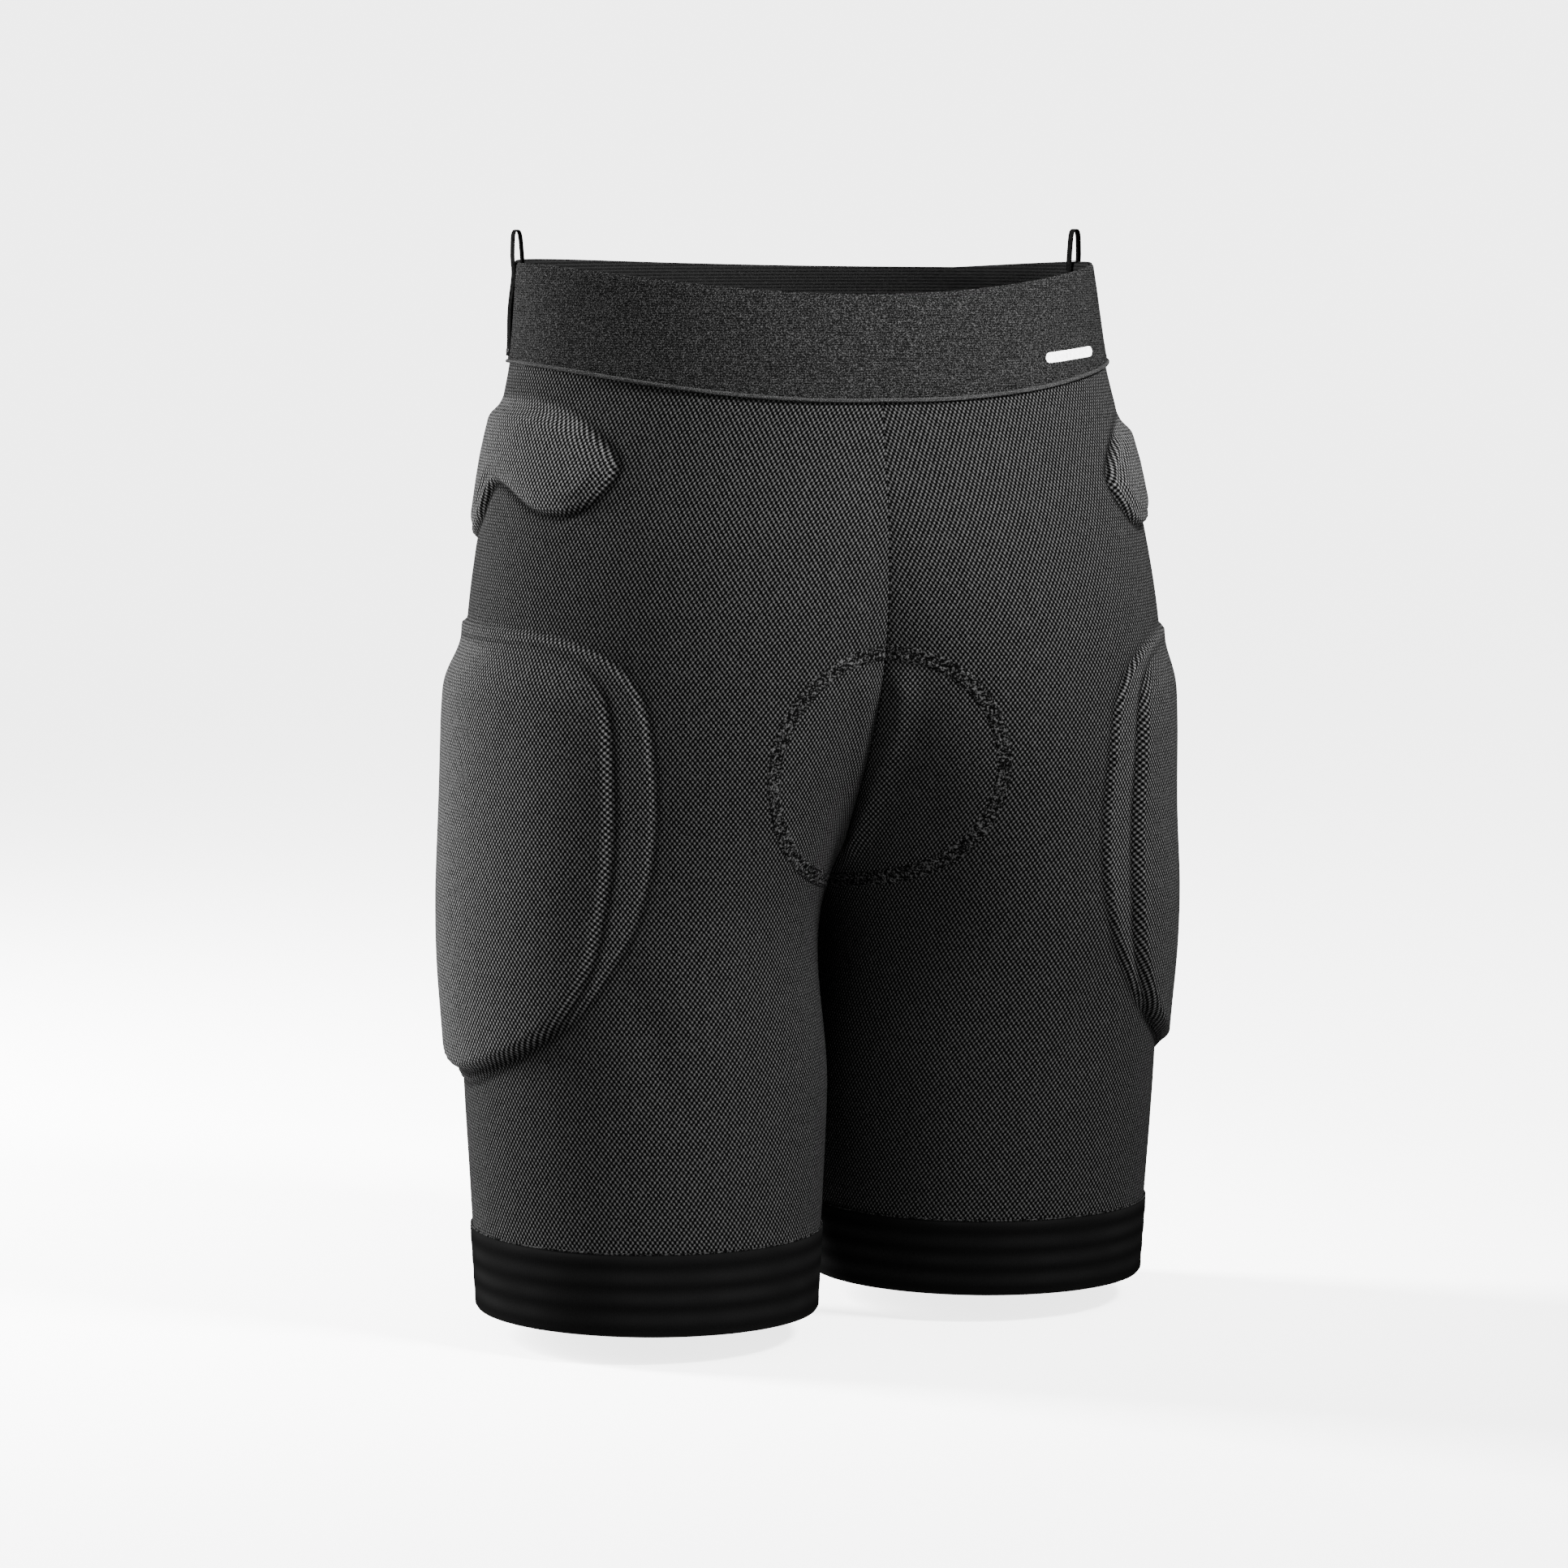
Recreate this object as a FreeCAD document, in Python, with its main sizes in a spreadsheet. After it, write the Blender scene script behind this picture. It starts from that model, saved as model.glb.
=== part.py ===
import FreeCAD, Part

import math
import os
import re

# Padded impact shorts: a mesh shell in two halves, an elastic waistband, elastic leg hems, foam pads
# closed in on the outside, a seat pad inside the crotch and two hanger loops. Millimetres.
# Origin: centre of the waist opening at the height of the rim's sides. +Z up, the front faces -Y,
# the wearer's right is -X.

os.makedirs("parts", exist_ok=True)
doc = FreeCAD.newDocument("padded_shorts")
sheet = doc.addObject("Spreadsheet::Sheet", "Sizes")

# ---------------------------------------------------------------------------------------------
# Driving dimensions
# ---------------------------------------------------------------------------------------------

# Each half of the garment is a stack of ellipses. Per level: height, half width, distance of the
# ellipse's centre from the middle plane, half depth, and how far the centre lies back (+) or
# forward (-). Neighbouring ellipses of the two halves cross above the crotch and part below it.
LEVELS = {
    "Hem": (-494, 80, 92, 88.5, -1.5),
    "Thigh": (-394, 86, 87, 95.5, -3.5),
    "Crotch": (-298, 85.5, 85.8, 108, -7),
    "Fork": (-264, 91, 78.5, 116, -6.5),
    "Seat": (-224, 101.5, 67, 124, -7.5),
    "Hip": (-174, 118, 49.5, 127, -9),
    "HighHip": (-124, 130, 31, 124, -7.5),
    "Belly": (-84, 136.5, 16.5, 118, -4),
    "WaistSeam": (-47, 138, 7, 112.5, -1),
    "Rim": (0, 140.5, 0, 104, 5),
}
LEVEL_COLUMNS = ("Height", "HalfWidth", "Centre", "Depth", "Setback")

# Offsets are measured outward from the outer face of the mesh.
SIZES = {
    "MeshOuter": 0,
    "MeshInner": -2.5,
    "SeamInner": -3.3,
    "StrideRight": -36,
    "StrideLeft": 22,
    "StrideEase": 1.3,
    "CreaseAngle": 50,
    "CreaseBand": 50,
    "BodyGap": 0.3,
    "BandInner": -0.5,
    "BandOuter": 1.2,
    "LiningInner": -2.2,
    "PipingOuter": 2.0,
    "PipingRise": 1.6,
    "MarkOuter": 1.4,
    "MarkLeft": 88,
    "MarkRight": 122,
    "MarkLow": -48,
    "MarkHigh": -38,
    "LabelLeft": 10,
    "LabelRight": 38,
    "LabelLow": -96,
    "LabelHigh": -52,
    "RimFrontArc": 400,
    "RimBackArc": 949,
    "SeamFrontArc": 433,
    "SeamBackArc": 1110,
    "HemBandRise": 37.5,
    "HemInner": -0.8,
    "HemOuter": 1.0,
    "HemSeamRise": 1.5,
    "HemSeamOuter": 0.6,
    "GripInner": -2.4,
    "GripLow": 8,
    "GripHigh": 30,
    "ThighBase": 3,
    "ThighFoam": 9,
    "ThighCover": 10.2,
    "HipFoam": 4.8,
    "HipCover": 5.8,
    "HipDropRight": 0,
    "HipDropLeft": 9,
    "ThighDropRight": 0,
    "ThighDropLeft": 4,
    "TailFoam": 7,
    "TailCover": 8.2,
    "TailHalfWidth": 38,
    "TailRound": 49,
    "TailMiddle": -110,
    "SeatInner": -10.5,
    "SeatLining": -11.3,
    "SeatRadius": 60,
    "SeatHeight": -235,
    "RingWidth": 8,
    "RingOuter": 0.6,
    "SeamHalf": 3,
    "TapeWidth": 7,
    "TapeThick": 0.8,
    "TapeSetback": 14.5,
    "LoopHeight": 16,
    "LoopWidth": 3.8,
    "LoopFoot": 2.5,
    "BartackHalf": 1,
    "TapeTop": -4,
    "TapeBottom": -44,
    "Reach": 16,
    "PadStart": 92,
    "SaddleDepth": 330,
    "Far": 400,
}


def fill_sheet():
    """Write every driving dimension as a number with an alias."""
    rows = dict(SIZES)
    for level, numbers in LEVELS.items():
        for column, number in zip(LEVEL_COLUMNS, numbers):
            rows[level + column] = number
    for row, (alias, number) in enumerate(rows.items(), start=1):
        sheet.set(f"A{row}", alias)
        sheet.set(f"B{row}", str(number))
        sheet.setAlias(f"B{row}", alias)
    doc.recompute()


def size(alias):
    return float(sheet.get(alias))


fill_sheet()
FAR = size("Far")
CROTCH = size("CrotchHeight")
HEM = size("HemHeight")
SIDES = {"right": -1, "left": 1}
parts = []


# ---------------------------------------------------------------------------------------------
# Document helpers
# ---------------------------------------------------------------------------------------------


def bind(thing, **expressions):
    """Bind properties to the sheet. Every word in an expression is an alias."""
    for name, expression in expressions.items():
        cells = re.sub(r"[A-Za-z]+", lambda word: f"Sizes.{word.group()}", str(expression))
        thing.setExpression(name.replace("__", "."), cells)


def boolean(kind, name, base, tool):
    result = doc.addObject(kind, name)
    result.Base = base
    result.Tool = tool
    return result


def cut(name, base, tool):
    return boolean("Part::Cut", name, base, tool)


def fuse(name, base, tool):
    return boolean("Part::Fuse", name, base, tool)


def group(name, shapes):
    """Solids that touch and count as one piece."""
    result = doc.addObject("Part::Compound", name)
    result.Links = shapes
    return result


def common(name, *shapes):
    """Intersection of two or more objects, as a chain of pairs."""
    result = shapes[0]
    for count, shape in enumerate(shapes[1:], start=1):
        last = count == len(shapes) - 1
        result = boolean("Part::Common", name if last else f"{name}_step{count}", result, shape)
    return result


def box(name, low, high):
    """A block from its low corner to its high corner, each three expressions or numbers."""
    block = doc.addObject("Part::Box", name)
    spans = [f"({high[axis]}) - ({low[axis]})" for axis in range(3)]
    bind(block, Length=spans[0], Width=spans[1], Height=spans[2])
    bind(block, Placement__Base__x=low[0], Placement__Base__y=low[1], Placement__Base__z=low[2])
    return block


def node(name, thing):
    """Register a finished sub-part under its node name."""
    thing.Label = name
    parts.append(thing)
    return thing


# ---------------------------------------------------------------------------------------------
# The body form: skins between two offsets
# ---------------------------------------------------------------------------------------------


def stride(side, height):
    """How far a leg stands forward (-) or back (+) at a height, nothing above the crotch."""
    fraction = max(0.0, (CROTCH - height) / (CROTCH - HEM))
    hem_shift = size("StrideRight") if side == "right" else size("StrideLeft")
    return hem_shift * fraction ** size("StrideEase")


def section_at(height):
    """Half width, centre distance, half depth and setback at any height, between levels."""
    rows = [[size(level + column) for column in LEVEL_COLUMNS] for level in LEVELS]
    for below, above in zip(rows, rows[1:]):
        if height <= above[0]:
            part = max(0.0, (height - below[0]) / (above[0] - below[0]))
            return [low + part * (high - low) for low, high in zip(below[1:], above[1:])]
    return rows[-1][1:]


def section_wire(side, height, dims, offset):
    """One closed ellipse of a half, as a periodic spline through evenly turned points."""
    half_width, centre, depth, setback = dims
    points_round = 12
    points = []
    for step in range(points_round):
        turn = 2 * math.pi * step / points_round
        across = SIDES[side] * (centre + (half_width + offset) * math.cos(turn))
        along = setback + stride(side, height) - (depth + offset) * math.sin(turn)
        points.append(FreeCAD.Vector(across, along, height))
    curve = Part.BSplineCurve()
    curve.interpolate(Points=points, PeriodicFlag=True)
    return Part.Wire([curve.toShape()])


def tube(side, offset):
    """Open tube of one half at an offset, running a little past the hem and the rim."""
    reach = size("Reach")
    wires = []
    for level in LEVELS:
        height = size(level + "Height")
        dims = [size(level + column) for column in LEVEL_COLUMNS[1:]]
        if level == "Hem":
            wires.append(section_wire(side, height - reach, dims, offset))
        wires.append(section_wire(side, height, dims, offset))
        if level == "Rim":
            wires.append(section_wire(side, height + reach, dims, offset))
    return Part.makeLoft(wires, False, False), wires[0], wires[-1]


skins = {}


def skin(side, inner, outer):
    """Solid skin of one half between two offsets, closed by flat rings at both ends."""
    key = (side, inner, outer)
    if key not in skins:
        outside, outer_low, outer_high = tube(side, size(outer))
        inside, inner_low, inner_high = tube(side, size(inner))
        ends = ((outer_low, inner_low), (outer_high, inner_high))
        rings = [Part.makeFace(list(wires), "Part::FaceMakerBullseye") for wires in ends]
        faces = outside.Faces + inside.Faces + rings
        sewn = Part.makeShell(faces)
        sewn.sewShape()
        solid = Part.makeSolid(sewn)
        if solid.Volume < 0:
            solid.reverse()
        feature = doc.addObject("Part::Feature", f"{side}_skin_{inner}_{outer}")
        feature.Shape = solid
        feature.Placement = FreeCAD.Placement()
        skins[key] = feature
    return skins[key]


# ---------------------------------------------------------------------------------------------
# Blocks that trim the skins
# ---------------------------------------------------------------------------------------------


def half_block(side):
    """Everything on one side of the middle plane."""
    low_x, high_x = ("0", "Far") if side == "left" else ("-Far", "0")
    return box(f"{side}_half", (low_x, "-Far", "-Far * 2"), (high_x, "Far", "Far"))


def crease_block(side, name, drop, above):
    """Block over (or under) the crease plane, which rises outward from the crotch. The drop is
    measured square to the plane, downward."""
    block = doc.addObject("Part::Box", f"{side}_{name}")
    bind(block, Length="Far * 2", Width="Far * 2", Height="Far * 2")
    slope = math.radians(size("CreaseAngle"))
    sign = SIDES[side]
    turn = FreeCAD.Rotation(FreeCAD.Vector(0, 1, 0), -sign * size("CreaseAngle"))
    up = FreeCAD.Vector(-sign * math.sin(slope), 0, math.cos(slope))
    corner = FreeCAD.Vector(-FAR, -FAR, 0 if above else -2 * FAR)
    base = FreeCAD.Vector(0, 0, CROTCH) - up * drop + turn.multVec(corner)
    block.Placement = FreeCAD.Placement(base, turn)
    return block


def saddle_block(name, top, front_arc, back_arc):
    """Everything under an edge that is level at the sides and falls along one arc to the front
    and a flatter one to the back of the middle."""
    quarters = []
    for half, arc, low_y in (("front", front_arc, "-Far"), ("back", back_arc, "0")):
        barrel = doc.addObject("Part::Cylinder", f"{name}_{half}_barrel")
        turn = FreeCAD.Rotation(FreeCAD.Vector(0, 1, 0), 90)
        barrel.Placement = FreeCAD.Placement(FreeCAD.Vector(), turn)
        bind(barrel, Radius=arc, Height="Far * 2")
        bind(barrel, Placement__Base__x="-Far", Placement__Base__z=f"{top} - {arc}")
        corner = ("-Far", low_y, "-SaddleDepth")
        window = box(f"{name}_{half}_side", corner, ("Far", f"{low_y} + Far", "SaddleDepth"))
        quarters.append(common(f"{name}_{half}", barrel, window))
    return fuse(name, quarters[0], quarters[1])


under_rim = saddle_block("under_rim", "RimHeight", "RimFrontArc", "RimBackArc")
under_seam = saddle_block("under_seam", "WaistSeamHeight", "SeamFrontArc", "SeamBackArc")
under_piping = saddle_block("under_piping", "WaistSeamHeight + PipingRise", "SeamFrontArc", "SeamBackArc")
band_zone = cut("band_zone", under_rim, under_seam)
piping_zone = cut("piping_zone", under_piping, under_seam)
half_zone = {side: half_block(side) for side in SIDES}
pelvis_zone = {}
for side in SIDES:
    over_crease = crease_block(side, "over_crease", 0, True)
    trunk = common(f"{side}_trunk", half_zone[side], over_crease)
    pelvis_zone[side] = common(f"{side}_pelvis_zone", trunk, under_seam)


def both_halves(name, inner, outer, trim):
    """A piece that runs across the middle plane: the same trimmed skin of each half."""
    pieces = []
    for side in SIDES:
        zone = common(f"{name}_{side}_zone", half_zone[side], trim)
        pieces.append(common(f"{name}_{side}", skin(side, inner, outer), zone))
    return group(f"{name}_halves", pieces)


# ---------------------------------------------------------------------------------------------
# Outlines on the right half, as (turn from the side seam towards the front in degrees, height).
# The left half's pads sit a little lower.
# ---------------------------------------------------------------------------------------------

HIP_PAD = [(0, -62), (24, -65), (37, -79), (43, -95), (36, -113), (24, -115), (4, -103),
           (-8, -122), (-24, -132), (-40, -112), (-42, -88), (-24, -66)]
THIGH_BASE = [(0, -168), (36, -172), (56, -192), (66, -235), (71, -285), (64, -323), (44, -358),
              (0, -387), (-32, -370), (-56, -320), (-60, -250), (-48, -192), (-28, -172)]
THIGH_FOAM = [(0, -176), (34, -177), (49, -196), (56, -240), (60, -290), (55, -332), (38, -362),
              (0, -382), (-27, -365), (-46, -320), (-50, -250), (-39, -196), (-22, -178)]


def outline_prism(side, name, outline, drop):
    """Closed spline through an outline's points in the side view, set lower by the drop, swept
    outward through the half."""
    sign = SIDES[side]
    points = []
    for degrees, level in outline:
        height = level - drop
        half_width, centre, depth, setback = section_at(height)
        along = setback + stride(side, height) - depth * math.sin(math.radians(degrees))
        points.append(FreeCAD.Vector(along, height, 0))
    curve = Part.BSplineCurve()
    curve.interpolate(Points=points, PeriodicFlag=True)
    sketch = doc.addObject("Sketcher::SketchObject", f"{side}_{name}_outline")
    sketch.addGeometry(curve, False)
    side_view = FreeCAD.Rotation(FreeCAD.Vector(1, 1, 1), 120)
    sketch.Placement = FreeCAD.Placement(FreeCAD.Vector(sign * size("PadStart"), 0, 0), side_view)
    prism = doc.addObject("Part::Extrusion", f"{side}_{name}_prism")
    prism.Base = sketch
    prism.DirMode = "Custom"
    prism.Dir = FreeCAD.Vector(sign, 0, 0)
    prism.Solid = True
    bind(prism, LengthFwd="Far")
    return prism


# ---------------------------------------------------------------------------------------------
# Waistband, its lining, piping and mark
# ---------------------------------------------------------------------------------------------


def make_waistband():
    node("waistband", both_halves("band", "BandInner", "BandOuter", band_zone))
    node("waistband_lining", both_halves("lining", "LiningInner", "BandInner", band_zone))
    node("waistband_piping", both_halves("piping", "BandOuter", "PipingOuter", piping_zone))
    window = box("mark_window", ("MarkLeft", "-Far", "MarkLow"), ("MarkRight", "0", "MarkHigh"))
    node("waistband_mark", common("mark", skin("left", "BandOuter", "MarkOuter"), window))


# ---------------------------------------------------------------------------------------------
# Hanger loops: an arch of tape over the rim, its two sewn tails and the bartack on the rim
# ---------------------------------------------------------------------------------------------


def arch_profile(sketch):
    """Outline of the tape seen along its width: two uprights joined by a half round."""
    foot = size("LoopFoot")
    half = size("LoopWidth") / 2
    inside = half - size("TapeThick")
    crown = size("LoopHeight") - half
    point = FreeCAD.Vector
    up = point(0, 0, 1)
    for radius in (half, inside):
        arc = Part.ArcOfCircle(Part.Circle(point(0, crown, 0), up, radius), 0, math.pi)
        sketch.addGeometry(Part.LineSegment(point(-radius, foot, 0), point(-radius, crown, 0)), False)
        sketch.addGeometry(arc, False)
        sketch.addGeometry(Part.LineSegment(point(radius, crown, 0), point(radius, foot, 0)), False)
    for start, end in ((-half, -inside), (inside, half)):
        sketch.addGeometry(Part.LineSegment(point(start, foot, 0), point(end, foot, 0)), False)


def make_hanger(side):
    sign = SIDES[side]
    rim_x = f"{sign} * (RimHalfWidth + RimCentre)"
    arch = doc.addObject("PartDesign::Body", f"{side}_arch")
    plane = [part for part in arch.Origin.OriginFeatures if part.Role == "XZ_Plane"][0]
    sketch = arch.newObject("Sketcher::SketchObject", f"{side}_arch_sketch")
    sketch.AttachmentSupport = [(plane, "")]
    sketch.MapMode = "FlatFace"
    arch_profile(sketch)
    pad = arch.newObject("PartDesign::Pad", f"{side}_arch_pad")
    pad.Profile = sketch
    pad.SideType = "Symmetric"
    bind(pad, Length="TapeWidth")
    bind(arch, Placement__Base__x=rim_x, Placement__Base__y="TapeSetback", Placement__Base__z="RimHeight")
    node(f"{side}_hanger_loop", arch)

    front = "TapeSetback - TapeWidth / 2"
    back = "TapeSetback + TapeWidth / 2"
    low = (f"{rim_x} - BartackHalf", front, "RimHeight - BartackHalf")
    high = (f"{rim_x} + BartackHalf", back, "RimHeight + BartackHalf")
    block = box(f"{side}_bartack_block", low, high)
    node(f"{side}_hanger_bartack", cut(f"{side}_bartack", block, under_rim))

    strip = box(f"{side}_tape_strip", ("-Far", front, "TapeBottom"), ("Far", back, "TapeTop"))
    zone = common(f"{side}_tape_zone", half_zone[side], strip)
    outer = common(f"{side}_outer_tape", skin(side, "BandOuter", "PipingOuter"), zone)
    node(f"{side}_hanger_outer_tail", outer)
    inner = common(f"{side}_inner_tape", skin(side, "SeamInner", "LiningInner"), zone)
    node(f"{side}_hanger_inner_tail", inner)


# ---------------------------------------------------------------------------------------------
# Mesh panels, hems and seams
# ---------------------------------------------------------------------------------------------


def slab(name, low, high):
    """Level slice between two heights."""
    return box(name, ("-Far", "-Far", low), ("Far", "Far", high))


def make_panels(side):
    mesh = skin(side, "MeshInner", "MeshOuter")
    node(f"{side}_pelvis_panel", common(f"{side}_pelvis", mesh, pelvis_zone[side]))

    under_gap = crease_block(side, "under_gap", size("BodyGap"), False)
    over_band = crease_block(side, "over_band", size("CreaseBand"), True)
    band = common(f"{side}_crease_band", half_zone[side], under_gap, over_band)
    node(f"{side}_hip_crease", common(f"{side}_crease", mesh, band))

    band_top = "HemHeight + HemBandRise"
    under_band = crease_block(side, "under_band", size("CreaseBand"), False)
    over_hem = slab(f"{side}_over_hem", band_top, "Far")
    leg_zone = common(f"{side}_leg_zone", half_zone[side], under_band, over_hem)
    node(f"{side}_thigh_panel", common(f"{side}_thigh", mesh, leg_zone))

    hem_slab = slab(f"{side}_hem_slab", "HemHeight", band_top)
    node(f"{side}_hem_band", common(f"{side}_hem", skin(side, "HemInner", "HemOuter"), hem_slab))
    seam_slab = slab(f"{side}_seam_slab", band_top, f"{band_top} + HemSeamRise")
    stitching = common(f"{side}_stitching", skin(side, "MeshOuter", "HemSeamOuter"), seam_slab)
    node(f"{side}_hem_seam", stitching)
    grip_slab = slab(f"{side}_grip_slab", "HemHeight + GripLow", "HemHeight + GripHigh")
    node(f"{side}_hem_grip", common(f"{side}_grip", skin(side, "GripInner", "HemInner"), grip_slab))
    make_inseam(side, leg_zone)


def make_inseam(side, leg_zone):
    """Seam tape inside the inner thigh, leaning with the leg."""
    crotch_y = size("CrotchSetback")
    hem_y = size("HemSetback") + stride(side, HEM)
    lean = math.degrees(math.atan2(hem_y - crotch_y, CROTCH - HEM))
    block = doc.addObject("Part::Box", f"{side}_inseam_block")
    bind(block, Length="CrotchHalfWidth", Width="SeamHalf * 2", Height="Far")
    turn = FreeCAD.Rotation(FreeCAD.Vector(1, 0, 0), lean)
    low_x = 0 if side == "left" else -size("CrotchHalfWidth")
    foot = turn.multVec(FreeCAD.Vector(0, -size("SeamHalf"), -FAR))
    block.Placement = FreeCAD.Placement(FreeCAD.Vector(low_x, crotch_y, CROTCH) + foot, turn)
    zone = common(f"{side}_inseam_zone", block, leg_zone)
    node(f"{side}_inseam", common(f"{side}_inseam_tape", skin(side, "SeamInner", "MeshInner"), zone))


def make_centre_seams():
    """Seam tapes inside the middle of the front and of the back, above the seat pad."""
    low = "SeatHeight + SeatRadius + SeamHalf"
    for name, low_y, high_y in (("front_seam", "-Far", "0"), ("back_seam", "0", "Far")):
        strip = box(f"{name}_strip", ("-SeamHalf", low_y, low), ("SeamHalf", high_y, "0"))
        zone = common(f"{name}_zone", strip, under_seam)
        node(name, both_halves(name, "SeamInner", "MeshInner", zone))


# ---------------------------------------------------------------------------------------------
# Pads and their covers
# ---------------------------------------------------------------------------------------------


def make_side_pads(side):
    """The three-lobed hip pad and the two-step thigh pad, each with its mesh cover."""
    hip_drop = size(f"HipDrop{side.capitalize()}")
    thigh_drop = size(f"ThighDrop{side.capitalize()}")
    hip = outline_prism(side, "hip", HIP_PAD, hip_drop)
    base = outline_prism(side, "base", THIGH_BASE, thigh_drop)
    thigh = outline_prism(side, "thigh", THIGH_FOAM, thigh_drop)
    layers = (
        ("hip_pad", hip, "MeshOuter", "HipFoam"),
        ("hip_pad_cover", hip, "HipFoam", "HipCover"),
        ("thigh_pad_base", base, "MeshOuter", "ThighBase"),
        ("thigh_pad", thigh, "ThighBase", "ThighFoam"),
        ("thigh_pad_cover", thigh, "ThighFoam", "ThighCover"),
    )
    for name, prism, inner, outer in layers:
        node(f"{side}_{name}", common(f"{side}_{name}_trim", skin(side, inner, outer), prism))


def drum(name, radius, height):
    """Cylinder along Y round a point of the middle plane."""
    barrel = doc.addObject("Part::Cylinder", name)
    turn = FreeCAD.Rotation(FreeCAD.Vector(1, 0, 0), -90)
    barrel.Placement = FreeCAD.Placement(FreeCAD.Vector(), turn)
    bind(barrel, Radius=radius, Height="Far")
    bind(barrel, Placement__Base__y="-Far / 2", Placement__Base__z=height)
    return barrel


def make_tail_pad():
    """Cushion over the tailbone, across the middle of the back, with rounded ends."""
    strip = box("tail_strip", ("-TailHalfWidth", "0", "-Far"), ("TailHalfWidth", "Far", "0"))
    window = common("tail_window", drum("tail_round", "TailRound", "TailMiddle"), strip)
    node("tailbone_pad", both_halves("tail_foam", "MeshOuter", "TailFoam", window))
    node("tailbone_pad_cover", both_halves("tail_cover", "TailFoam", "TailCover", window))


def make_seat_pad():
    """Pad inside the crotch in two halves, its skin-side lining and the sewn ring outside."""
    disc = drum("seat_disc", "SeatRadius", "SeatHeight")
    hole = drum("seat_hole", "SeatRadius - RingWidth", "SeatHeight")
    ring = cut("seat_ring_zone", disc, hole)
    for side in SIDES:
        disc_zone = common(f"{side}_seat_zone", pelvis_zone[side], disc)
        ring_zone = common(f"{side}_ring_zone", pelvis_zone[side], ring)
        layers = (
            ("seat_pad", disc_zone, "SeatInner", "MeshInner"),
            ("seat_pad_lining", disc_zone, "SeatLining", "SeatInner"),
            ("seat_ring", ring_zone, "MeshOuter", "RingOuter"),
        )
        for name, zone, inner, outer in layers:
            node(f"{side}_{name}", common(f"{side}_{name}_trim", skin(side, inner, outer), zone))


def make_care_label():
    window = box("label_window", ("LabelLeft", "0", "LabelLow"), ("LabelRight", "Far", "LabelHigh"))
    node("care_label", common("label", skin("left", "SeamInner", "MeshInner"), window))


# ---------------------------------------------------------------------------------------------
# Assembly, checks and export
# ---------------------------------------------------------------------------------------------


def sound(shape):
    return not shape.isNull() and shape.isValid() and len(shape.Solids) > 0


def check_and_export():
    doc.recompute()
    broken = [thing.Label for thing in doc.Objects if {"Invalid", "Error"} & set(thing.State)]
    if broken:
        raise RuntimeError(f"failed objects: {broken}")
    bad = [thing.Label for thing in parts if not sound(thing.Shape)]
    if bad:
        raise RuntimeError(f"bad shapes: {bad}")
    for thing in parts:
        volume = thing.Shape.Volume / 1000
        print(f"{thing.Label}: {len(thing.Shape.Solids)} solid(s), {volume:.2f} cm3")
        thing.Shape.exportStep(f"parts/{thing.Label}.step")


make_waistband()
make_centre_seams()
make_tail_pad()
make_seat_pad()
make_care_label()
for side in SIDES:
    make_hanger(side)
    make_panels(side)
    make_side_pads(side)
check_and_export()
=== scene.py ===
import math

import bpy
import numpy as np
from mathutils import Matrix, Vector


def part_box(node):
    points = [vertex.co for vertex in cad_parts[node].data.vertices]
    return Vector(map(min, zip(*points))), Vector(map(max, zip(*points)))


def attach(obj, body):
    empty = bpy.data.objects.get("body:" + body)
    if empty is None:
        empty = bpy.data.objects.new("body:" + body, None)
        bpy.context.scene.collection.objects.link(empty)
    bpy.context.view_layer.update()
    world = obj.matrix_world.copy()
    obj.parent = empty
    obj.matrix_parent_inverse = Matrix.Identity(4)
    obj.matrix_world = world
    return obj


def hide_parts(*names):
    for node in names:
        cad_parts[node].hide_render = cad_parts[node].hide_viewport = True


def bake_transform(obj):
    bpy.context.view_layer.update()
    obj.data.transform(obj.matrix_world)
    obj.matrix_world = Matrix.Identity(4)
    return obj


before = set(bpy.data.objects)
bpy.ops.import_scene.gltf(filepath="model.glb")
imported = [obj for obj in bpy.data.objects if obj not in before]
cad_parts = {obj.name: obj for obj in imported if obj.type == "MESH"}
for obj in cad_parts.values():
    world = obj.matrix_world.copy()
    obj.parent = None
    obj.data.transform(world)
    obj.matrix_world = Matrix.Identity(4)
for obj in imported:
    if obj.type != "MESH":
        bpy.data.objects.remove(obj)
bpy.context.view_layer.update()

# Looks of the padded impact shorts, in the row frame, in metres. The garment's form is the CAD
# part's: each half is a stack of ellipses, read here at any height, and every height that a CAD
# node fixes comes from that node's box. Outlines are (turn, height): the turn goes from the side
# seam (0) towards the front (90 and more), the height is in mm from the rim.

MM = 0.001
SIDES = {"right": -1, "left": 1}

# height, half width, distance of the ellipse's centre from the middle plane, half depth, setback
LEVELS = np.array([
    (-494, 80, 92, 88.5, -1.5),
    (-394, 86, 87, 95.5, -3.5),
    (-298, 85.5, 85.8, 108, -7),
    (-264, 91, 78.5, 116, -6.5),
    (-224, 101.5, 67, 124, -7.5),
    (-174, 118, 49.5, 127, -9),
    (-124, 130, 31, 124, -7.5),
    (-84, 136.5, 16.5, 118, -4),
    (-47, 138, 7, 112.5, -1),
    (0, 140.5, 0, 104, 5),
]) * MM
STRIDE = {"right": -36 * MM, "left": 22 * MM}
STRIDE_EASE = 1.3
CROTCH = -298 * MM
HEM_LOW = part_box("left_hem_band")[0].z
HEM_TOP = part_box("left_hem_band")[1].z
WAIST_SEAM = -47 * MM
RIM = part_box("waistband")[1].z
RIM_ARCS = (400 * MM, 949 * MM)
RIM_SWAY = 5 * MM
SEAM_ARCS = (433 * MM, 1110 * MM)
SEAT_HEIGHT = -235 * MM
SEAT_RADIUS = 60 * MM
SEAT_FOLD = {"right": 1.5 * MM, "left": 4.2 * MM}
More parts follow.
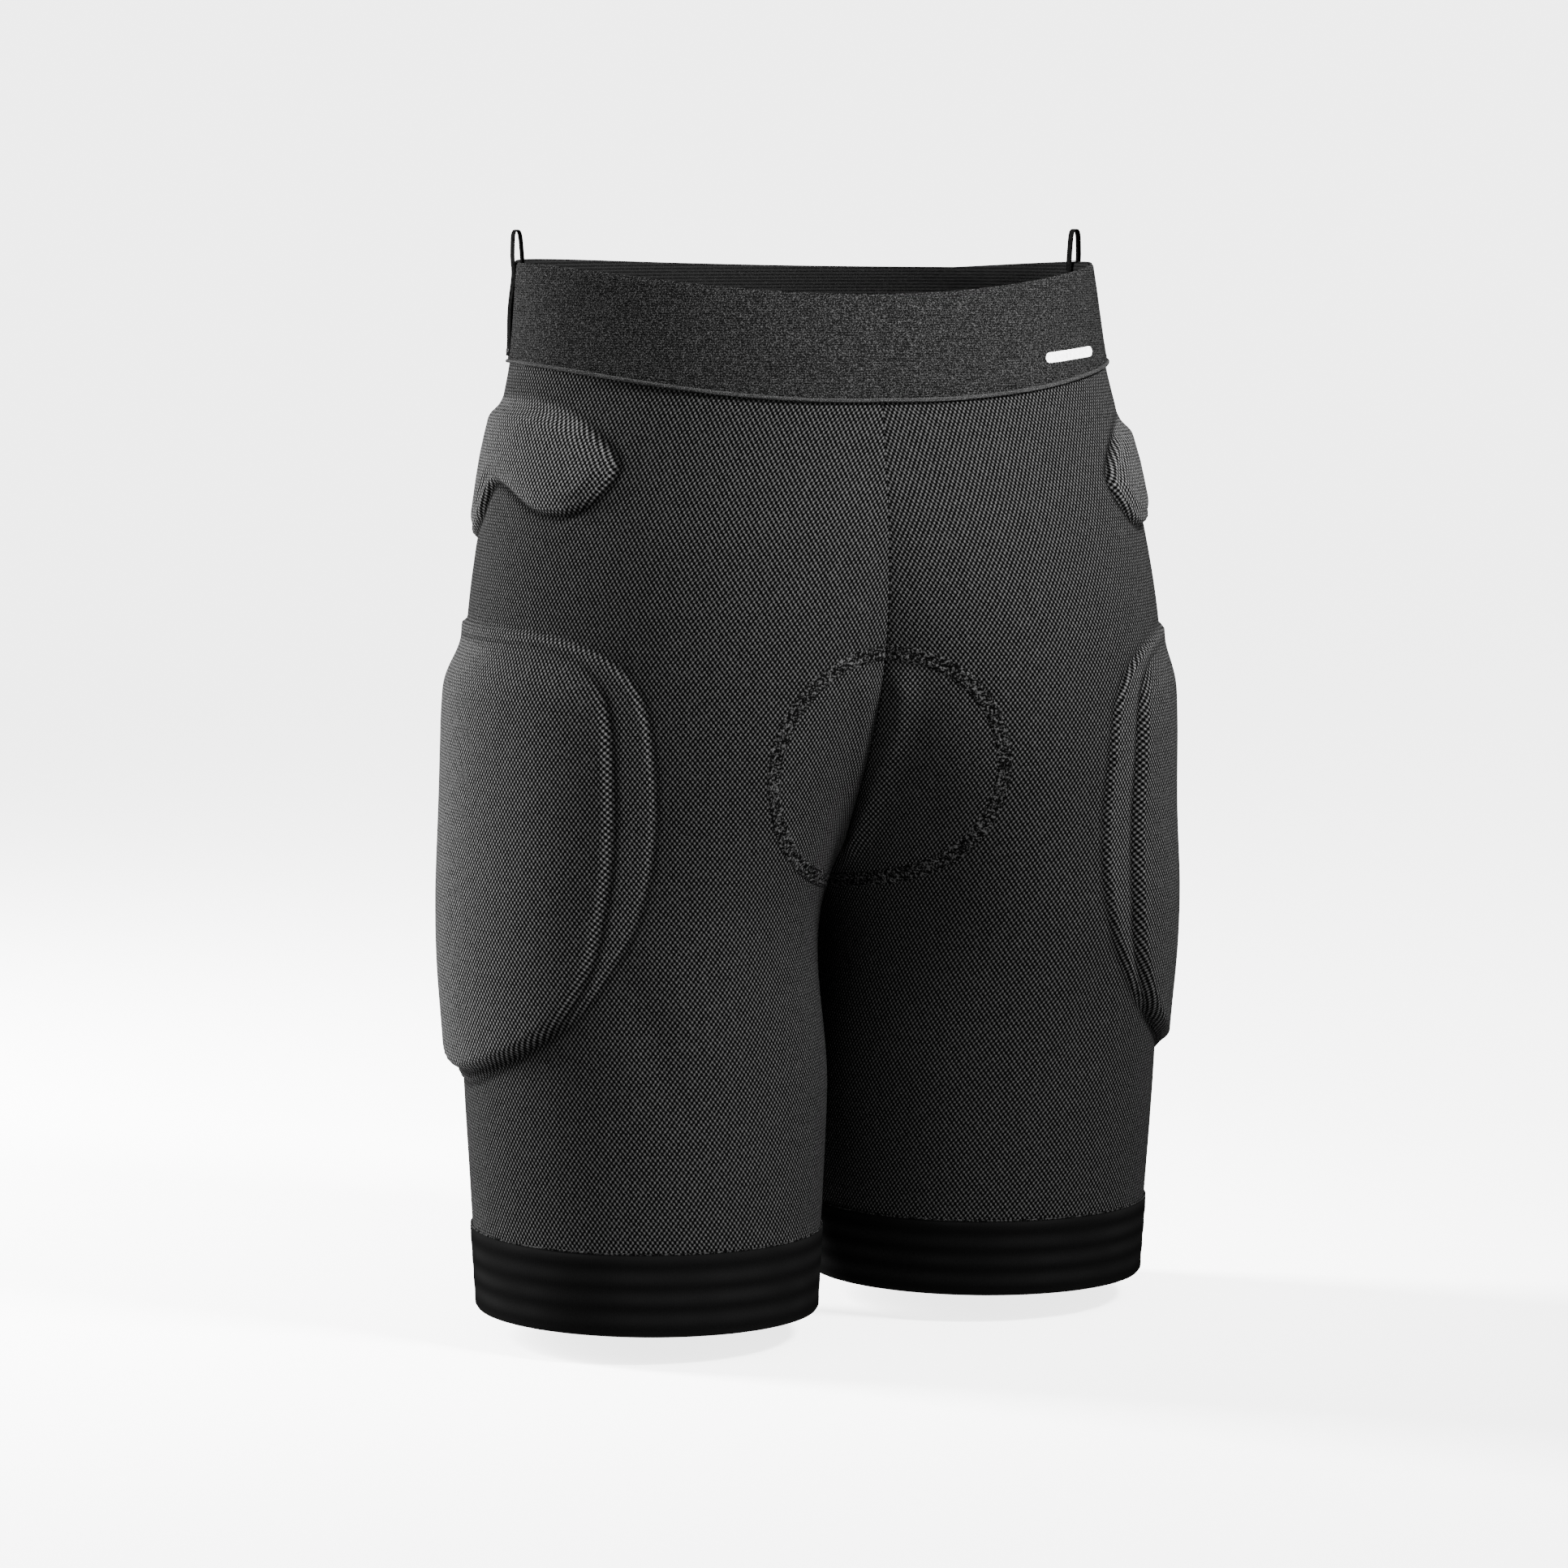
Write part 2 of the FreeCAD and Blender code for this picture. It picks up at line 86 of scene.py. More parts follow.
TAIL_LOW, TAIL_HIGH = [corner.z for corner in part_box("tailbone_pad")]
TAIL_HEIGHT = (TAIL_LOW + TAIL_HIGH) / 2
TAIL_RADIUS = (TAIL_HIGH - TAIL_LOW) / 2

HIP_PAD = [(0, -62), (24, -65), (37, -79), (43, -95), (36, -113), (24, -115), (4, -103),
           (-8, -122), (-24, -132), (-40, -112), (-42, -88), (-24, -66)]
THIGH_BASE = [(0, -168), (36, -172), (56, -192), (66, -235), (71, -285), (64, -323), (44, -358),
              (0, -387), (-32, -370), (-56, -320), (-60, -250), (-48, -192), (-28, -172)]
THIGH_FOAM = [(0, -176), (34, -177), (49, -196), (56, -240), (60, -290), (55, -332), (38, -362),
              (0, -382), (-27, -365), (-46, -320), (-50, -250), (-39, -196), (-22, -178)]

PLY = 0.7 * MM
INNER_PLY = -2.5 * MM


# ---- The garment's form ----


def smooth_step(value):
    t = np.clip(value, 0, 1)
    return t * t * (3 - 2 * t)


def curve_through(at, values):
    """Smooth curve through a table's rows, as a function of the first column."""
    slopes = np.gradient(values, at)

    def read(where):
        where = np.clip(where, at[0], at[-1])
        low = np.clip(np.searchsorted(at, where) - 1, 0, len(at) - 2)
        span = at[low + 1] - at[low]
        t = (where - at[low]) / span
        rise = (2 * t**3 - 3 * t**2 + 1) * values[low] + (3 * t**2 - 2 * t**3) * values[low + 1]
        lean = (t**3 - 2 * t**2 + t) * slopes[low] + (t**3 - t**2) * slopes[low + 1]
        return rise + lean * span

    return read


half_width, centre, half_depth, setback = [
    curve_through(LEVELS[:, 0], LEVELS[:, column]) for column in range(1, 5)
]


def stride(side, z):
    fraction = np.clip((CROTCH - z) / (CROTCH - HEM_LOW), 0, None)
    return STRIDE[side] * fraction**STRIDE_EASE


def place(side, turn, z, out=0.0):
    """Point of a half at a turn in radians and a height, moved outward."""
    turn, z, out = np.broadcast_arrays(turn, z, out)
    across = centre(z) + (half_width(z) + out) * np.cos(turn)
    over = (z > CROTCH + 2 * MM) & (across < 0)
    across = SIDES[side] * np.where(over, 0, across)
    along = setback(z) + stride(side, z) - (half_depth(z) + out) * np.sin(turn)
    return np.stack([across, along, z], -1)


def turn_across(across, z, out=0.0):
    """Turn of the front of a half at a distance from the middle plane."""
    return np.arccos(np.clip((across - centre(z)) / (half_width(z) + out), -1, 1))


def middle_turn(z, out=0.0):
    """Turn at which a half meets the middle plane, half a circle below the crotch."""
    return turn_across(0, z, out)


def outward(side, turn, z):
    """Unit normal of the body form."""
    step = 0.4 * MM
    round_it = place(side, turn + 0.01, z) - place(side, turn - 0.01, z)
    up = place(side, turn, z + step) - place(side, turn, z - step)
    normal = np.cross(round_it, up)
    toward = place(side, turn, z, 1 * MM) - place(side, turn, z)
    normal *= np.sign((normal * toward).sum(-1))[..., None]
    length = np.linalg.norm(normal, axis=-1)[..., None]
    straight = np.stack(np.broadcast_arrays(0.0, -np.sign(turn), 0.0 * np.asarray(z)), -1)
    return np.where(length > 0, normal / np.maximum(length, 1e-12), straight)


TURNS = np.linspace(-math.pi, math.pi, 721)


def lengths_round(z):
    """Distance along the fabric from the side seam to each of TURNS, at one height."""
    speed = np.hypot(half_width(z) * np.sin(TURNS), half_depth(z) * np.cos(TURNS))
    steps = (speed[1:] + speed[:-1]) / 2 * np.diff(TURNS)
    total = np.concatenate([[0], np.cumsum(steps)])
    return total - np.interp(0, TURNS, total)


def along_at(turn, z):
    return np.array([np.interp(t, TURNS, lengths_round(h)) for t, h in zip(turn, z)])


def turn_at(along, z):
    return np.array([np.interp(a, lengths_round(h), TURNS) for a, h in zip(along, z)])


def fall(y, arcs):
    """How far a waist edge has fallen from its sides at a distance to the front or back."""
    radius = np.where(y < 0, arcs[0], arcs[1])
    return radius - np.sqrt(radius**2 - y**2)


def sway(side, share):
    """Rise of the rim's back, which stands a little higher on the wearer's right."""
    way = -share if side == "right" else 2 + share
    return RIM_SWAY * np.sin(math.pi * np.clip(way / 1.5, 0, 1))


def edge_height(side, share, top, arcs):
    """Height of a waist edge at a share of the way from the side seam to the middle."""
    z = np.full_like(share, top)
    for _ in range(5):
        z = top - fall(place(side, share * middle_turn(z), z)[..., 1], arcs)
    return z + sway(side, share) if arcs is RIM_ARCS else z


# ---- Relief of the pads under the cloth ----


CURVE_STEPS = 14


def closed_curve(points):
    """Smooth closed curve through points."""
    points = np.array(points, float)
    before, after, beyond = (np.roll(points, shift, 0) for shift in (1, -1, -2))
    t = np.linspace(0, 1, CURVE_STEPS, endpoint=False)[:, None, None]
    curve = 0.5 * (2 * points + (after - before) * t + (2 * before - 5 * points + 4 * after - beyond) * t**2
                   + (3 * points - before - 3 * after + beyond) * t**3)
    return curve.transpose(1, 0, 2).reshape(-1, 2)


def flat_outline(outline):
    """An outline in (along, height), metres on the fabric."""
    turn = np.radians([degrees for degrees, _ in outline])
    z = np.array([height for _, height in outline]) * MM
    return closed_curve(np.stack([along_at(turn, z), z], 1))


def inside_distance(points, loop):
    """Distance to a closed curve, positive inside it."""
    shortest = np.full(len(points), np.inf)
    inside = np.zeros(len(points), bool)
    for start, end in zip(loop, np.roll(loop, -1, 0)):
        edge = end - start
        t = np.clip(((points - start) @ edge) / max(edge @ edge, 1e-12), 0, 1)
        shortest = np.minimum(shortest, np.linalg.norm(points - start - t[:, None] * edge, axis=1))
        spans = (start[1] > points[:, 1]) != (end[1] > points[:, 1])
        crossing = start[0] + (points[:, 1] - start[1]) * edge[0] / (edge[1] if edge[1] else 1e-12)
        inside ^= spans & (points[:, 0] < crossing)
    return np.where(inside, shortest, -shortest)


def steep(distance, width):
    return 1 - (1 - np.clip(distance / width, 0, 1)) ** 2.6


def gentle(distance, width):
    return smooth_step(distance / width)


PAD_DROP = {"right": (0, 0), "left": (9, 4)}
HIP_TOP = -66 * MM
THIGH_EASING = -222 * MM
TAIL_HALF_WIDTH = 38 * MM


def lowered(outline, drop):
    return [(degrees, height - drop) for degrees, height in outline]


hip_loop = {side: flat_outline(lowered(HIP_PAD, PAD_DROP[side][0])) for side in SIDES}
base_loop = {side: flat_outline(lowered(THIGH_BASE, PAD_DROP[side][1])) for side in SIDES}
foam_loop = {side: flat_outline(lowered(THIGH_FOAM, PAD_DROP[side][1])) for side in SIDES}


def hip_relief(side, points):
    """Three-lobed pad: a bevelled rim, crisp below and in front, easing in at the top."""
    d = inside_distance(points, hip_loop[side])
    top = HIP_TOP - PAD_DROP[side][0] * MM
    soft = smooth_step((points[:, 1] - top + 14 * MM) / (10 * MM))
    rim = (1 - soft) * gentle(d + 0.6 * MM, 3.8 * MM) + soft * gentle(d, 12 * MM)
    return 3.4 * MM * rim + 1.5 * MM * gentle(d - 4.5 * MM, 5 * MM) + 0.9 * MM * gentle(d, 34 * MM)


def base_relief(side, points):
    return 2.5 * MM * gentle(inside_distance(points, base_loop[side]), 2.6 * MM)


def foam_relief(side, points):
    """Thick pad: steep in front and below, easing in at the top, fuller towards the back."""
    d = inside_distance(points, foam_loop[side])
    soft = smooth_step((points[:, 1] - THIGH_EASING) / (42 * MM))
    rim = (1 - soft) * gentle(d + 0.6 * MM, 5 * MM) + soft * gentle(d, 28 * MM)
    fuller = 1 - 0.38 * smooth_step((points[:, 0] + 45 * MM) / (90 * MM))
    return (7.0 * MM * rim + 2.2 * MM * gentle(d, 46 * MM)) * fuller


def tail_relief(across, z):
    """Cushion over the tailbone, in distance from the middle plane and height."""
    round_end = TAIL_RADIUS - np.hypot(across, z - TAIL_HEIGHT)
    d = np.minimum(TAIL_HALF_WIDTH - across, round_end)
    return 6.4 * MM * steep(d, 7 * MM) + 1.7 * MM * gentle(d, 30 * MM)


def creases(points):
    """Slight unevenness of worn cloth and the soft fold under the thigh pad's front corner."""
    u, z = points.T
    wave = np.sin(u * 31 + z * 17) * np.sin(z * 43 - u * 11 + 1.3) + 0.6 * np.sin(u * 67 - z * 29 + 0.4)
    start, end = np.array([[0.112, -0.318], [0.136, -0.405]])
    line = end - start
    t = np.clip(((points - start) @ line) / (line @ line), 0, 1)
    d = np.linalg.norm(points - start - t[:, None] * line, axis=1)
    fold = np.exp(-((d / (11 * MM)) ** 2)) * np.sin(math.pi * np.clip(t * 0.9 + 0.1, 0, 1))
    return 0.22 * MM * wave - 1.7 * MM * fold


# ---- Meshes ----


def grid_faces(rows, cols, wrap_rows, wrap_cols):
    """Corner indices of a grid's quads and, for texture space, the same without wrapping."""
    r, c = np.meshgrid(np.arange(rows if wrap_rows else rows - 1),
                       np.arange(cols if wrap_cols else cols - 1), indexing="ij")
    r, c = r.ravel(), c.ravel()
    corner_rows = np.stack([r, r, r + 1, r + 1], 1)
    corner_cols = np.stack([c, c + 1, c + 1, c], 1)
    return (corner_rows % rows) * cols + corner_cols % cols, corner_rows, corner_cols


def mesh_object(name, points, faces, corner_uv=None, face_slots=None, materials=(), sharp=48):
    points = np.asarray(points, float).reshape(-1, 3)
    mesh = bpy.data.meshes.new(name)
    mesh.from_pydata(points.tolist(), [], [list(face) for face in faces])
    if corner_uv is not None:
        layer = mesh.uv_layers.new(name="UVMap")
        layer.data.foreach_set("uv", np.asarray(corner_uv, np.float32).ravel())
    for material in materials:
        mesh.materials.append(material)
    if face_slots is not None:
        mesh.polygons.foreach_set("material_index", np.asarray(face_slots, np.int32))
    mesh.shade_smooth()
    mesh.set_sharp_from_angle(angle=math.radians(sharp))
    mesh.update()
    piece = bpy.data.objects.new(name, mesh)
    bpy.context.scene.collection.objects.link(piece)
    return piece


def turned_out(points, faces):
    """Whether a closed grid's quads face outward, by the sign of its volume."""
    a, b, c, d = (points[faces[:, k]] for k in range(4))
    volume = (a * np.cross(b, c)).sum() + (a * np.cross(c, d)).sum()
    return volume > 0


def loop_sweep(name, loop, uv, wrap, materials, slots=None, sharp=48):
    """Closed body from a grid whose rows run round a closed section. Its ends are capped unless
    its columns wrap. uv has one row more than the grid, and one column more if it wraps."""
    rows, cols = loop.shape[:2]
    faces, corner_rows, corner_cols = grid_faces(rows, cols, True, wrap)
    corner_uv = uv[corner_rows, corner_cols]
    face_slots = np.zeros(len(faces), int) if slots is None else slots[corner_rows[:, 0], corner_cols[:, 0]]
    points = loop.reshape(-1, 3)
    if not wrap:
        half = rows // 2
        low = np.arange(half - 1)
        high = rows - 1 - low
        for column, flip in ((0, False), (cols - 1, True)):
            cap = np.stack([low, high, high - 1, low + 1], 1) * cols + column
            cap = cap if not flip else cap[:, ::-1]
            faces = np.concatenate([faces, cap])
            corner_uv = np.concatenate([corner_uv, np.zeros((len(cap), 4, 2))])
            face_slots = np.concatenate([face_slots, np.zeros(len(cap), int)])
    if not turned_out(points, faces):
        faces = faces[:, ::-1]
        corner_uv = corner_uv[:, ::-1]
    return mesh_object(name, points, faces, corner_uv, face_slots, materials, sharp)


def two_ply(name, outer, inner, uv, wrap, materials, slots=None):
    """Closed cloth between an outer and an inner grid."""
    loop = np.concatenate([outer, inner[::-1]])
    uv_loop = np.concatenate([uv, uv[::-1], uv[:1]])
    slot_loop = None if slots is None else np.concatenate([slots, slots[::-1]])
    return loop_sweep(name, loop, uv_loop, wrap, materials, slot_loop)


def paint(piece, layer, values):
    """Value per vertex of a two-ply cloth, the same on both faces, for its shader."""
    both = np.concatenate([values, values[::-1]]).ravel()
    piece.data.attributes.new(layer, "FLOAT", "POINT").data.foreach_set("value", both.astype(np.float32))


# ---- Materials ----


class Nodes:
    """Short hand for building one material's node tree."""

    def __init__(self, name, **principled):
        self.material = bpy.data.materials.new(name)
        self.material.use_nodes = True
        self.tree = self.material.node_tree
        self.shader = self.tree.nodes["Principled BSDF"]
        for socket, value in principled.items():
            self.shader.inputs[socket.replace("_", " ")].default_value = value

    def add(self, kind, inputs=None, **settings):
        node = self.tree.nodes.new(kind)
        for key, value in settings.items():
            setattr(node, key, value)
        for key, value in (inputs or {}).items():
            self.feed(node.inputs[key], value)
        return node

    def feed(self, socket, value):
        if isinstance(value, bpy.types.NodeSocket):
            self.tree.links.new(value, socket)
        else:
            socket.default_value = value

    def math(self, operation, *values):
        node = self.add("ShaderNodeMath", operation=operation)
        for index, value in enumerate(values):
            self.feed(node.inputs[index], value)
        return node.outputs[0]

    def times(self, first, second):
        return self.math("MULTIPLY", first, second)

    def plus(self, first, second):
        return self.math("ADD", first, second)

    def times_plus(self, value, factor, addend):
        return self.math("MULTIPLY_ADD", value, factor, addend)

    def ramp(self, value, low, high):
        """0 below low and 1 above high, smooth between them."""
        node = self.add("ShaderNodeMapRange", {0: value, 1: low, 2: high}, interpolation_type="SMOOTHSTEP")
        return node.outputs[0]

    def mix(self, factor, first, second):
        node = self.add("ShaderNodeMix", data_type="RGBA")
        self.feed(node.inputs[0], factor)
        for socket, tone in ((6, first), (7, second)):
            self.feed(node.inputs[socket], (*tone, 1) if isinstance(tone, tuple) else tone)
        return node.outputs[2]

    def noise(self, scale, detail=2.0):
        inputs = {"Vector": self.object_space(), "Scale": scale, "Detail": detail}
        node = self.add("ShaderNodeTexNoise", inputs)
        return node.outputs[0]

    def object_space(self):
        return self.add("ShaderNodeTexCoord").outputs["Object"]

    def read(self, layer):
        return self.add("ShaderNodeAttribute", attribute_name=layer).outputs["Fac"]

    def uv(self):
        """The fabric's own coordinates, in metres along and up."""
        layer = self.add("ShaderNodeUVMap", uv_map="UVMap").outputs[0]
        split = self.add("ShaderNodeSeparateXYZ", {0: layer})
        return split.outputs[0], split.outputs[1]

    def wave(self, value, pitch, phase=0.0):
        turned = self.math("MULTIPLY_ADD", value, 2 * math.pi / pitch, phase)
        return self.math("COSINE", turned)

    def colour(self, value):
        self.feed(self.shader.inputs["Base Color"], value)

    def bump(self, height, distance):
        node = self.add("ShaderNodeBump", {"Height": height, "Distance": distance, "Strength": 1.0})
        self.tree.links.new(node.outputs[0], self.shader.inputs["Normal"])


def grey(value):
    return (value, value, value)


KNIT_DEPTH = 0.5 * MM


def knit(name, dark, bright, across, rows):
    """Warp-knitted mesh: staggered small holes between thicker yarns, with paler knots. Over thick
    foam it is stretched smoother and paler, with painted light on the pads; along the pads' edges it is
    darkened with painted shade."""
    n = Nodes(name, Roughness=0.8, Specular_IOR_Level=0.0)
    u, v = n.uv()
    lattice = n.times(n.wave(u, across), n.wave(v, rows))
    hole = n.ramp(lattice, 0.1, 0.5)
    knot = n.ramp(lattice, -0.2, -0.75)
    strand = n.times_plus(n.wave(u, across / 6), 0.5, 0.5)
    fleck = n.ramp(n.noise(1400.0, 1.0), 0.42, 0.68)
    level = n.plus(n.times(knot, 0.62), n.times(fleck, 0.26))
    level = n.plus(level, n.times(strand, 0.12))
    # paler yarn over the foam: the stretched cloth plus painted light on the pad faces
    stretched_and_lit = n.mix(n.read("over_foam_lit"), grey(bright), grey(bright * 1.9))
    yarn = n.mix(level, grey(dark), stretched_and_lit)
    cloth = n.mix(n.times(hole, 0.94), yarn, grey(dark * 0.1))
    # painted shade: the cloth is darkened along the pads' edges, where their shadow lines fall
    n.colour(n.mix(n.times(n.read("groove_and_painted_shade"), 0.75), cloth, grey(dark * 0.3)))
    height = n.math("SUBTRACT", n.times_plus(knot, 0.35, n.times(strand, 0.1)), hole)
    n.bump(height, KNIT_DEPTH)
    return n.material


def brushed(name, dark, bright, fleck_scale=2600.0, rib=0.0, pitch=1.1 * MM):
    """Brushed elastic: fine pale flecks on dark cloth, with faint ribs along it."""
    n = Nodes(name, Roughness=0.8, Specular_IOR_Level=0.0)
    u, v = n.uv()
    ribs = n.times_plus(n.wave(v, pitch), 0.5, 0.5)
    fleck = n.ramp(n.noise(fleck_scale, 2.0), 0.46, 0.72)
    weave = n.times(n.wave(u, 0.9 * MM), n.wave(v, 0.9 * MM))
    level = n.plus(n.times(fleck, 0.75), n.times(ribs, rib))
    n.colour(n.mix(level, grey(dark), grey(bright)))
    raised = n.plus(level, n.times(ribs, 0.4))
    n.bump(n.plus(n.times(weave, 0.25), raised), 0.12 * MM)
    return n.material


def smooth_elastic(name, dark, bright):
    """Bonded elastic of the hems: almost plain, with a fine grain and soft bands along it."""
    n = Nodes(name, Roughness=0.6, Specular_IOR_Level=0.0)
    u, v = n.uv()
    grain = n.noise(3200.0, 2.0)
    bands = n.times_plus(n.wave(v, 9.5 * MM, 0.8), 0.5, 0.5)
    patch = n.noise(28.0, 1.0)
    # paler soft bands at the pitch of the hem's ripples, in patches
    banded_patches = n.times(n.times(bands, patch), 0.6)
    level = n.plus(n.times(grain, 0.5), banded_patches)
    n.colour(n.mix(level, grey(dark), grey(bright)))
    threads = n.times(n.wave(u, 0.8 * MM), 0.12)
    n.bump(n.plus(n.times(grain, 0.3), threads), 0.07 * MM)
    return n.material


def foam(name, tone):
    n = Nodes(name, Roughness=0.9, Specular_IOR_Level=0.0)
    cells = n.add("ShaderNodeTexVoronoi", {"Scale": 900.0, "Vector": n.object_space()})
    pores = n.ramp(cells.outputs[0], 0.15, 0.5)
    n.colour(n.mix(pores, grey(tone * 0.4), grey(tone)))
    n.bump(pores, 0.2 * MM)
    return n.material


TWIST_PITCH = 0.55 * MM


def thread(name, dark, bright):
    n = Nodes(name, Roughness=0.6, Specular_IOR_Level=0.0)
    point = n.add("ShaderNodeSeparateXYZ", {0: n.object_space()})
    slant = n.plus(n.plus(point.outputs[0], point.outputs[1]), point.outputs[2])
    twist = n.times_plus(n.wave(slant, TWIST_PITCH), 0.5, 0.5)
    fleck = n.ramp(n.noise(900.0, 1.0), 0.42, 0.7)
    level = n.times(fleck, n.times_plus(twist, 0.6, 0.4))
    n.colour(n.mix(level, grey(dark), grey(bright)))
    n.bump(twist, 0.1 * MM)
    return n.material


def woven(name, dark, bright, across=0.7 * MM, up=1.0 * MM, rough=0.6):
    """Woven tape: a basket pattern in the tape's own coordinates."""
    n = Nodes(name, Roughness=rough, Specular_IOR_Level=0.0)
    u, v = n.uv()
    basket = n.times_plus(n.times(n.wave(u, across), n.wave(v, up)), 0.5, 0.5)
    n.colour(n.mix(n.times(basket, n.ramp(n.noise(700.0), 0.3, 0.7)), grey(dark), grey(bright)))
    n.bump(basket, 0.12 * MM)
    return n.material


def silicone(name, tone):
    """Grip strip: glossy rubber with a printed wave."""
    n = Nodes(name, Roughness=0.35, Specular_IOR_Level=0.1)
    u, v = n.uv()
    shift = n.times(n.wave(u, 12 * MM), 1.2 * MM)
    lines = n.ramp(n.wave(n.plus(v, shift), 5.5 * MM), -0.2, 0.3)
    n.colour(n.mix(lines, grey(tone * 0.35), grey(tone)))
    n.bump(n.plus(lines, n.times(n.noise(400.0), 0.2)), 0.3 * MM)
    return n.material


mesh_cloth = knit("mesh_knit", 0.0003, 0.0155, 2.3 * MM, 2.9 * MM)
seat_cloth = knit("seat_knit", 0.0003, 0.0175, 2.2 * MM, 2.8 * MM)
lining_cloth = knit("ply_lining", 0.0005, 0.006, 1.6 * MM, 1.9 * MM)
waist_elastic = brushed("waist_elastic", 0.0003, 0.0110, 1700.0, rib=0.1)
waist_lining = brushed("waist_lining", 0.0005, 0.004, rib=0.4, pitch=1.6 * MM)
seat_lining = brushed("seat_lining", 0.001, 0.006, 1800.0)
hem_elastic = smooth_elastic("hem_elastic", 0.0002, 0.0018)
pad_foam = foam("pad_foam", 0.012)
seat_foam = foam("seat_foam", 0.012)
dark_thread = thread("dark_thread", 0.0005, 0.012)
pale_thread = thread("pale_thread", 0.002, 0.05)
seam_tape = woven("seam_tape", 0.0008, 0.007)
hanger_tape = woven("hanger_tape", 0.0003, 0.002)
label_satin = woven("label_satin", 0.1, 0.16, 0.25 * MM, 0.5 * MM, 0.4)
print_film = woven("print_film", 0.2, 0.34, 0.9 * MM, 0.9 * MM, 0.45)
grip_rubber = silicone("grip_rubber", 0.03)
seam_edge = brushed("rolled_edge", 0.002, 0.016, 2200.0, rib=0.1)
ring_tape = brushed("ring_tape", 0.0004, 0.017, 900.0)


# ---- Riding on the frame ----


def with_leg(piece):
    """Bakes the piece's placement into its mesh."""
    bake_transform(piece)
    return piece


def stands_for(piece, slot, *nodes):
    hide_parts(*nodes)
    return piece


def on_pelvis(piece, slot, *nodes):
    stands_for(piece, slot, *nodes)
    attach(piece, "pelvis")


def declare_cloth(piece, width, length, rests_on):
    """Returns the piece unchanged."""
    return piece


# ---- Mesh panels: an outer ply over the pads and a plain inner ply ----

ROW_STEP = 1.6 * MM
UNDER_BAND = 4 * MM
WARP_FROM = -110 * MM
COLUMNS = 400
INNER_COLUMNS = 150
PANEL_FLAT = (0.64, 0.43)
PRESSED_DEPTH = 0.45 * MM


def ply_heights():
    leg = np.arange(HEM_TOP - UNDER_BAND, CROTCH, ROW_STEP)
    fork = CROTCH + 0.06 * MM * np.arange(0, 17) ** 2
    trunk = np.arange(fork[-1] + ROW_STEP, WAIST_SEAM + UNDER_BAND, ROW_STEP)
    return np.concatenate([leg, fork, trunk])


def ply_shares(count):
    """Shares of the way round, denser at the centre seams."""
    edge = 1 - np.array([0, 0.003, 0.0065, 0.011])
    inner = np.linspace(-0.985, 0.985, count)
    return np.concatenate([-edge, inner, edge[::-1]])


def ply_grid(count, out):
    """Turn, height and texture coordinates over one half."""
    nominal = ply_heights()
    shares = ply_shares(count)
    top = edge_height("left", shares, WAIST_SEAM, SEAM_ARCS) + UNDER_BAND
    raised = np.clip((nominal - WARP_FROM) / (nominal[-1] - WARP_FROM), 0, 1)[:, None]
    z = np.where(raised > 0, WARP_FROM + raised * (top - WARP_FROM), nominal[:, None])
    turn = shares * middle_turn(z, out)
    along = np.array([np.interp(t, TURNS, lengths_round(h)) for t, h in zip(turn, nominal)])
    return turn, z, along


def seam_dip(distance):
    """Dip of the cloth at the centre seams and the inseam."""
    return -0.45 * MM * np.exp(-((distance / (1.6 * MM)) ** 2))


def pad_relief(side, turn, z, along):
    points = np.stack([along.ravel(), z.ravel()], 1)
    relief = base_relief(side, points) + foam_relief(side, points) + hip_relief(side, points)
    relief = relief.reshape(z.shape)
    across = np.abs(place("left", turn, z)[..., 0])
    return relief + np.where(turn < 0, tail_relief(across, z), 0), creases(points).reshape(z.shape)


def pad_marks(side, z, along):
    """Where the cloth lies on thick foam, with painted light there, and the groove where it is pressed down
    along a pad's edge, which also carries painted shade.
    """
    points = np.stack([along.ravel(), z.ravel()], 1)
    hip, base, thick = [inside_distance(points, loop[side]) for loop in (hip_loop, base_loop, foam_loop)]
    # paler cloth over the foam: painted light on the pads, less toward the front, and on the base step,
    # with the stretched yarn's own paleness
    forward = smooth_step((points[:, 0] + 10 * MM) / (70 * MM))
    over_foam_lit = np.maximum(smooth_step(hip / (2 * MM)), smooth_step(thick / (2 * MM)) * (1 - 0.6 * forward))
    over_foam_lit = np.maximum(over_foam_lit, 0.55 * smooth_step(base / (2 * MM)) * (thick < -1 * MM))
    # groove along each pad's edge; the same mask darkens the cloth's colour there as painted shade
    groove_and_painted_shade = np.zeros(len(points))
    for distance, top, strength in ((hip, -70 * MM, 0.9), (thick, -185 * MM, 0.8), (base, -176 * MM, 0.55)):
        line = np.exp(-(((distance + 1 * MM) / (1.6 * MM)) ** 2))
        easing = smooth_step((top + 8 * MM - points[:, 1]) / (26 * MM))
        groove_and_painted_shade = np.maximum(groove_and_painted_shade, strength * line * easing)
    return over_foam_lit.reshape(z.shape), groove_and_painted_shade.reshape(z.shape)


def seat_folds(side, turn, z, distance):
    """Soft folds beside the centre seam, inside the ring of the seat pad, fuller on the left."""
    across = np.abs(place("left", turn, z)[..., 0])
    inside = SEAT_RADIUS - np.hypot(across, z - SEAT_HEIGHT)
    beside = np.exp(-(((distance - 10 * MM) / (7 * MM)) ** 2))
    return SEAT_FOLD[side] * beside * smooth_step((inside - 8 * MM) / (16 * MM)) * (z > CROTCH)


turn_grid, z_grid, along_grid = ply_grid(COLUMNS, 0.0)
uv_grid = np.stack([along_grid, z_grid], -1)
to_edge = np.minimum(np.abs(along_grid - along_grid[:, :1]), np.abs(along_grid - along_grid[:, -1:]))


def in_seat(turn, z):
    """Whether a point lies inside the ring sewn round the seat pad."""
    across = np.abs(place("left", turn, z)[..., 0])
    disc = np.hypot(across, z - SEAT_HEIGHT) < SEAT_RADIUS - 3 * MM
    return disc & (np.abs(turn) > math.radians(75)) & (z > CROTCH)


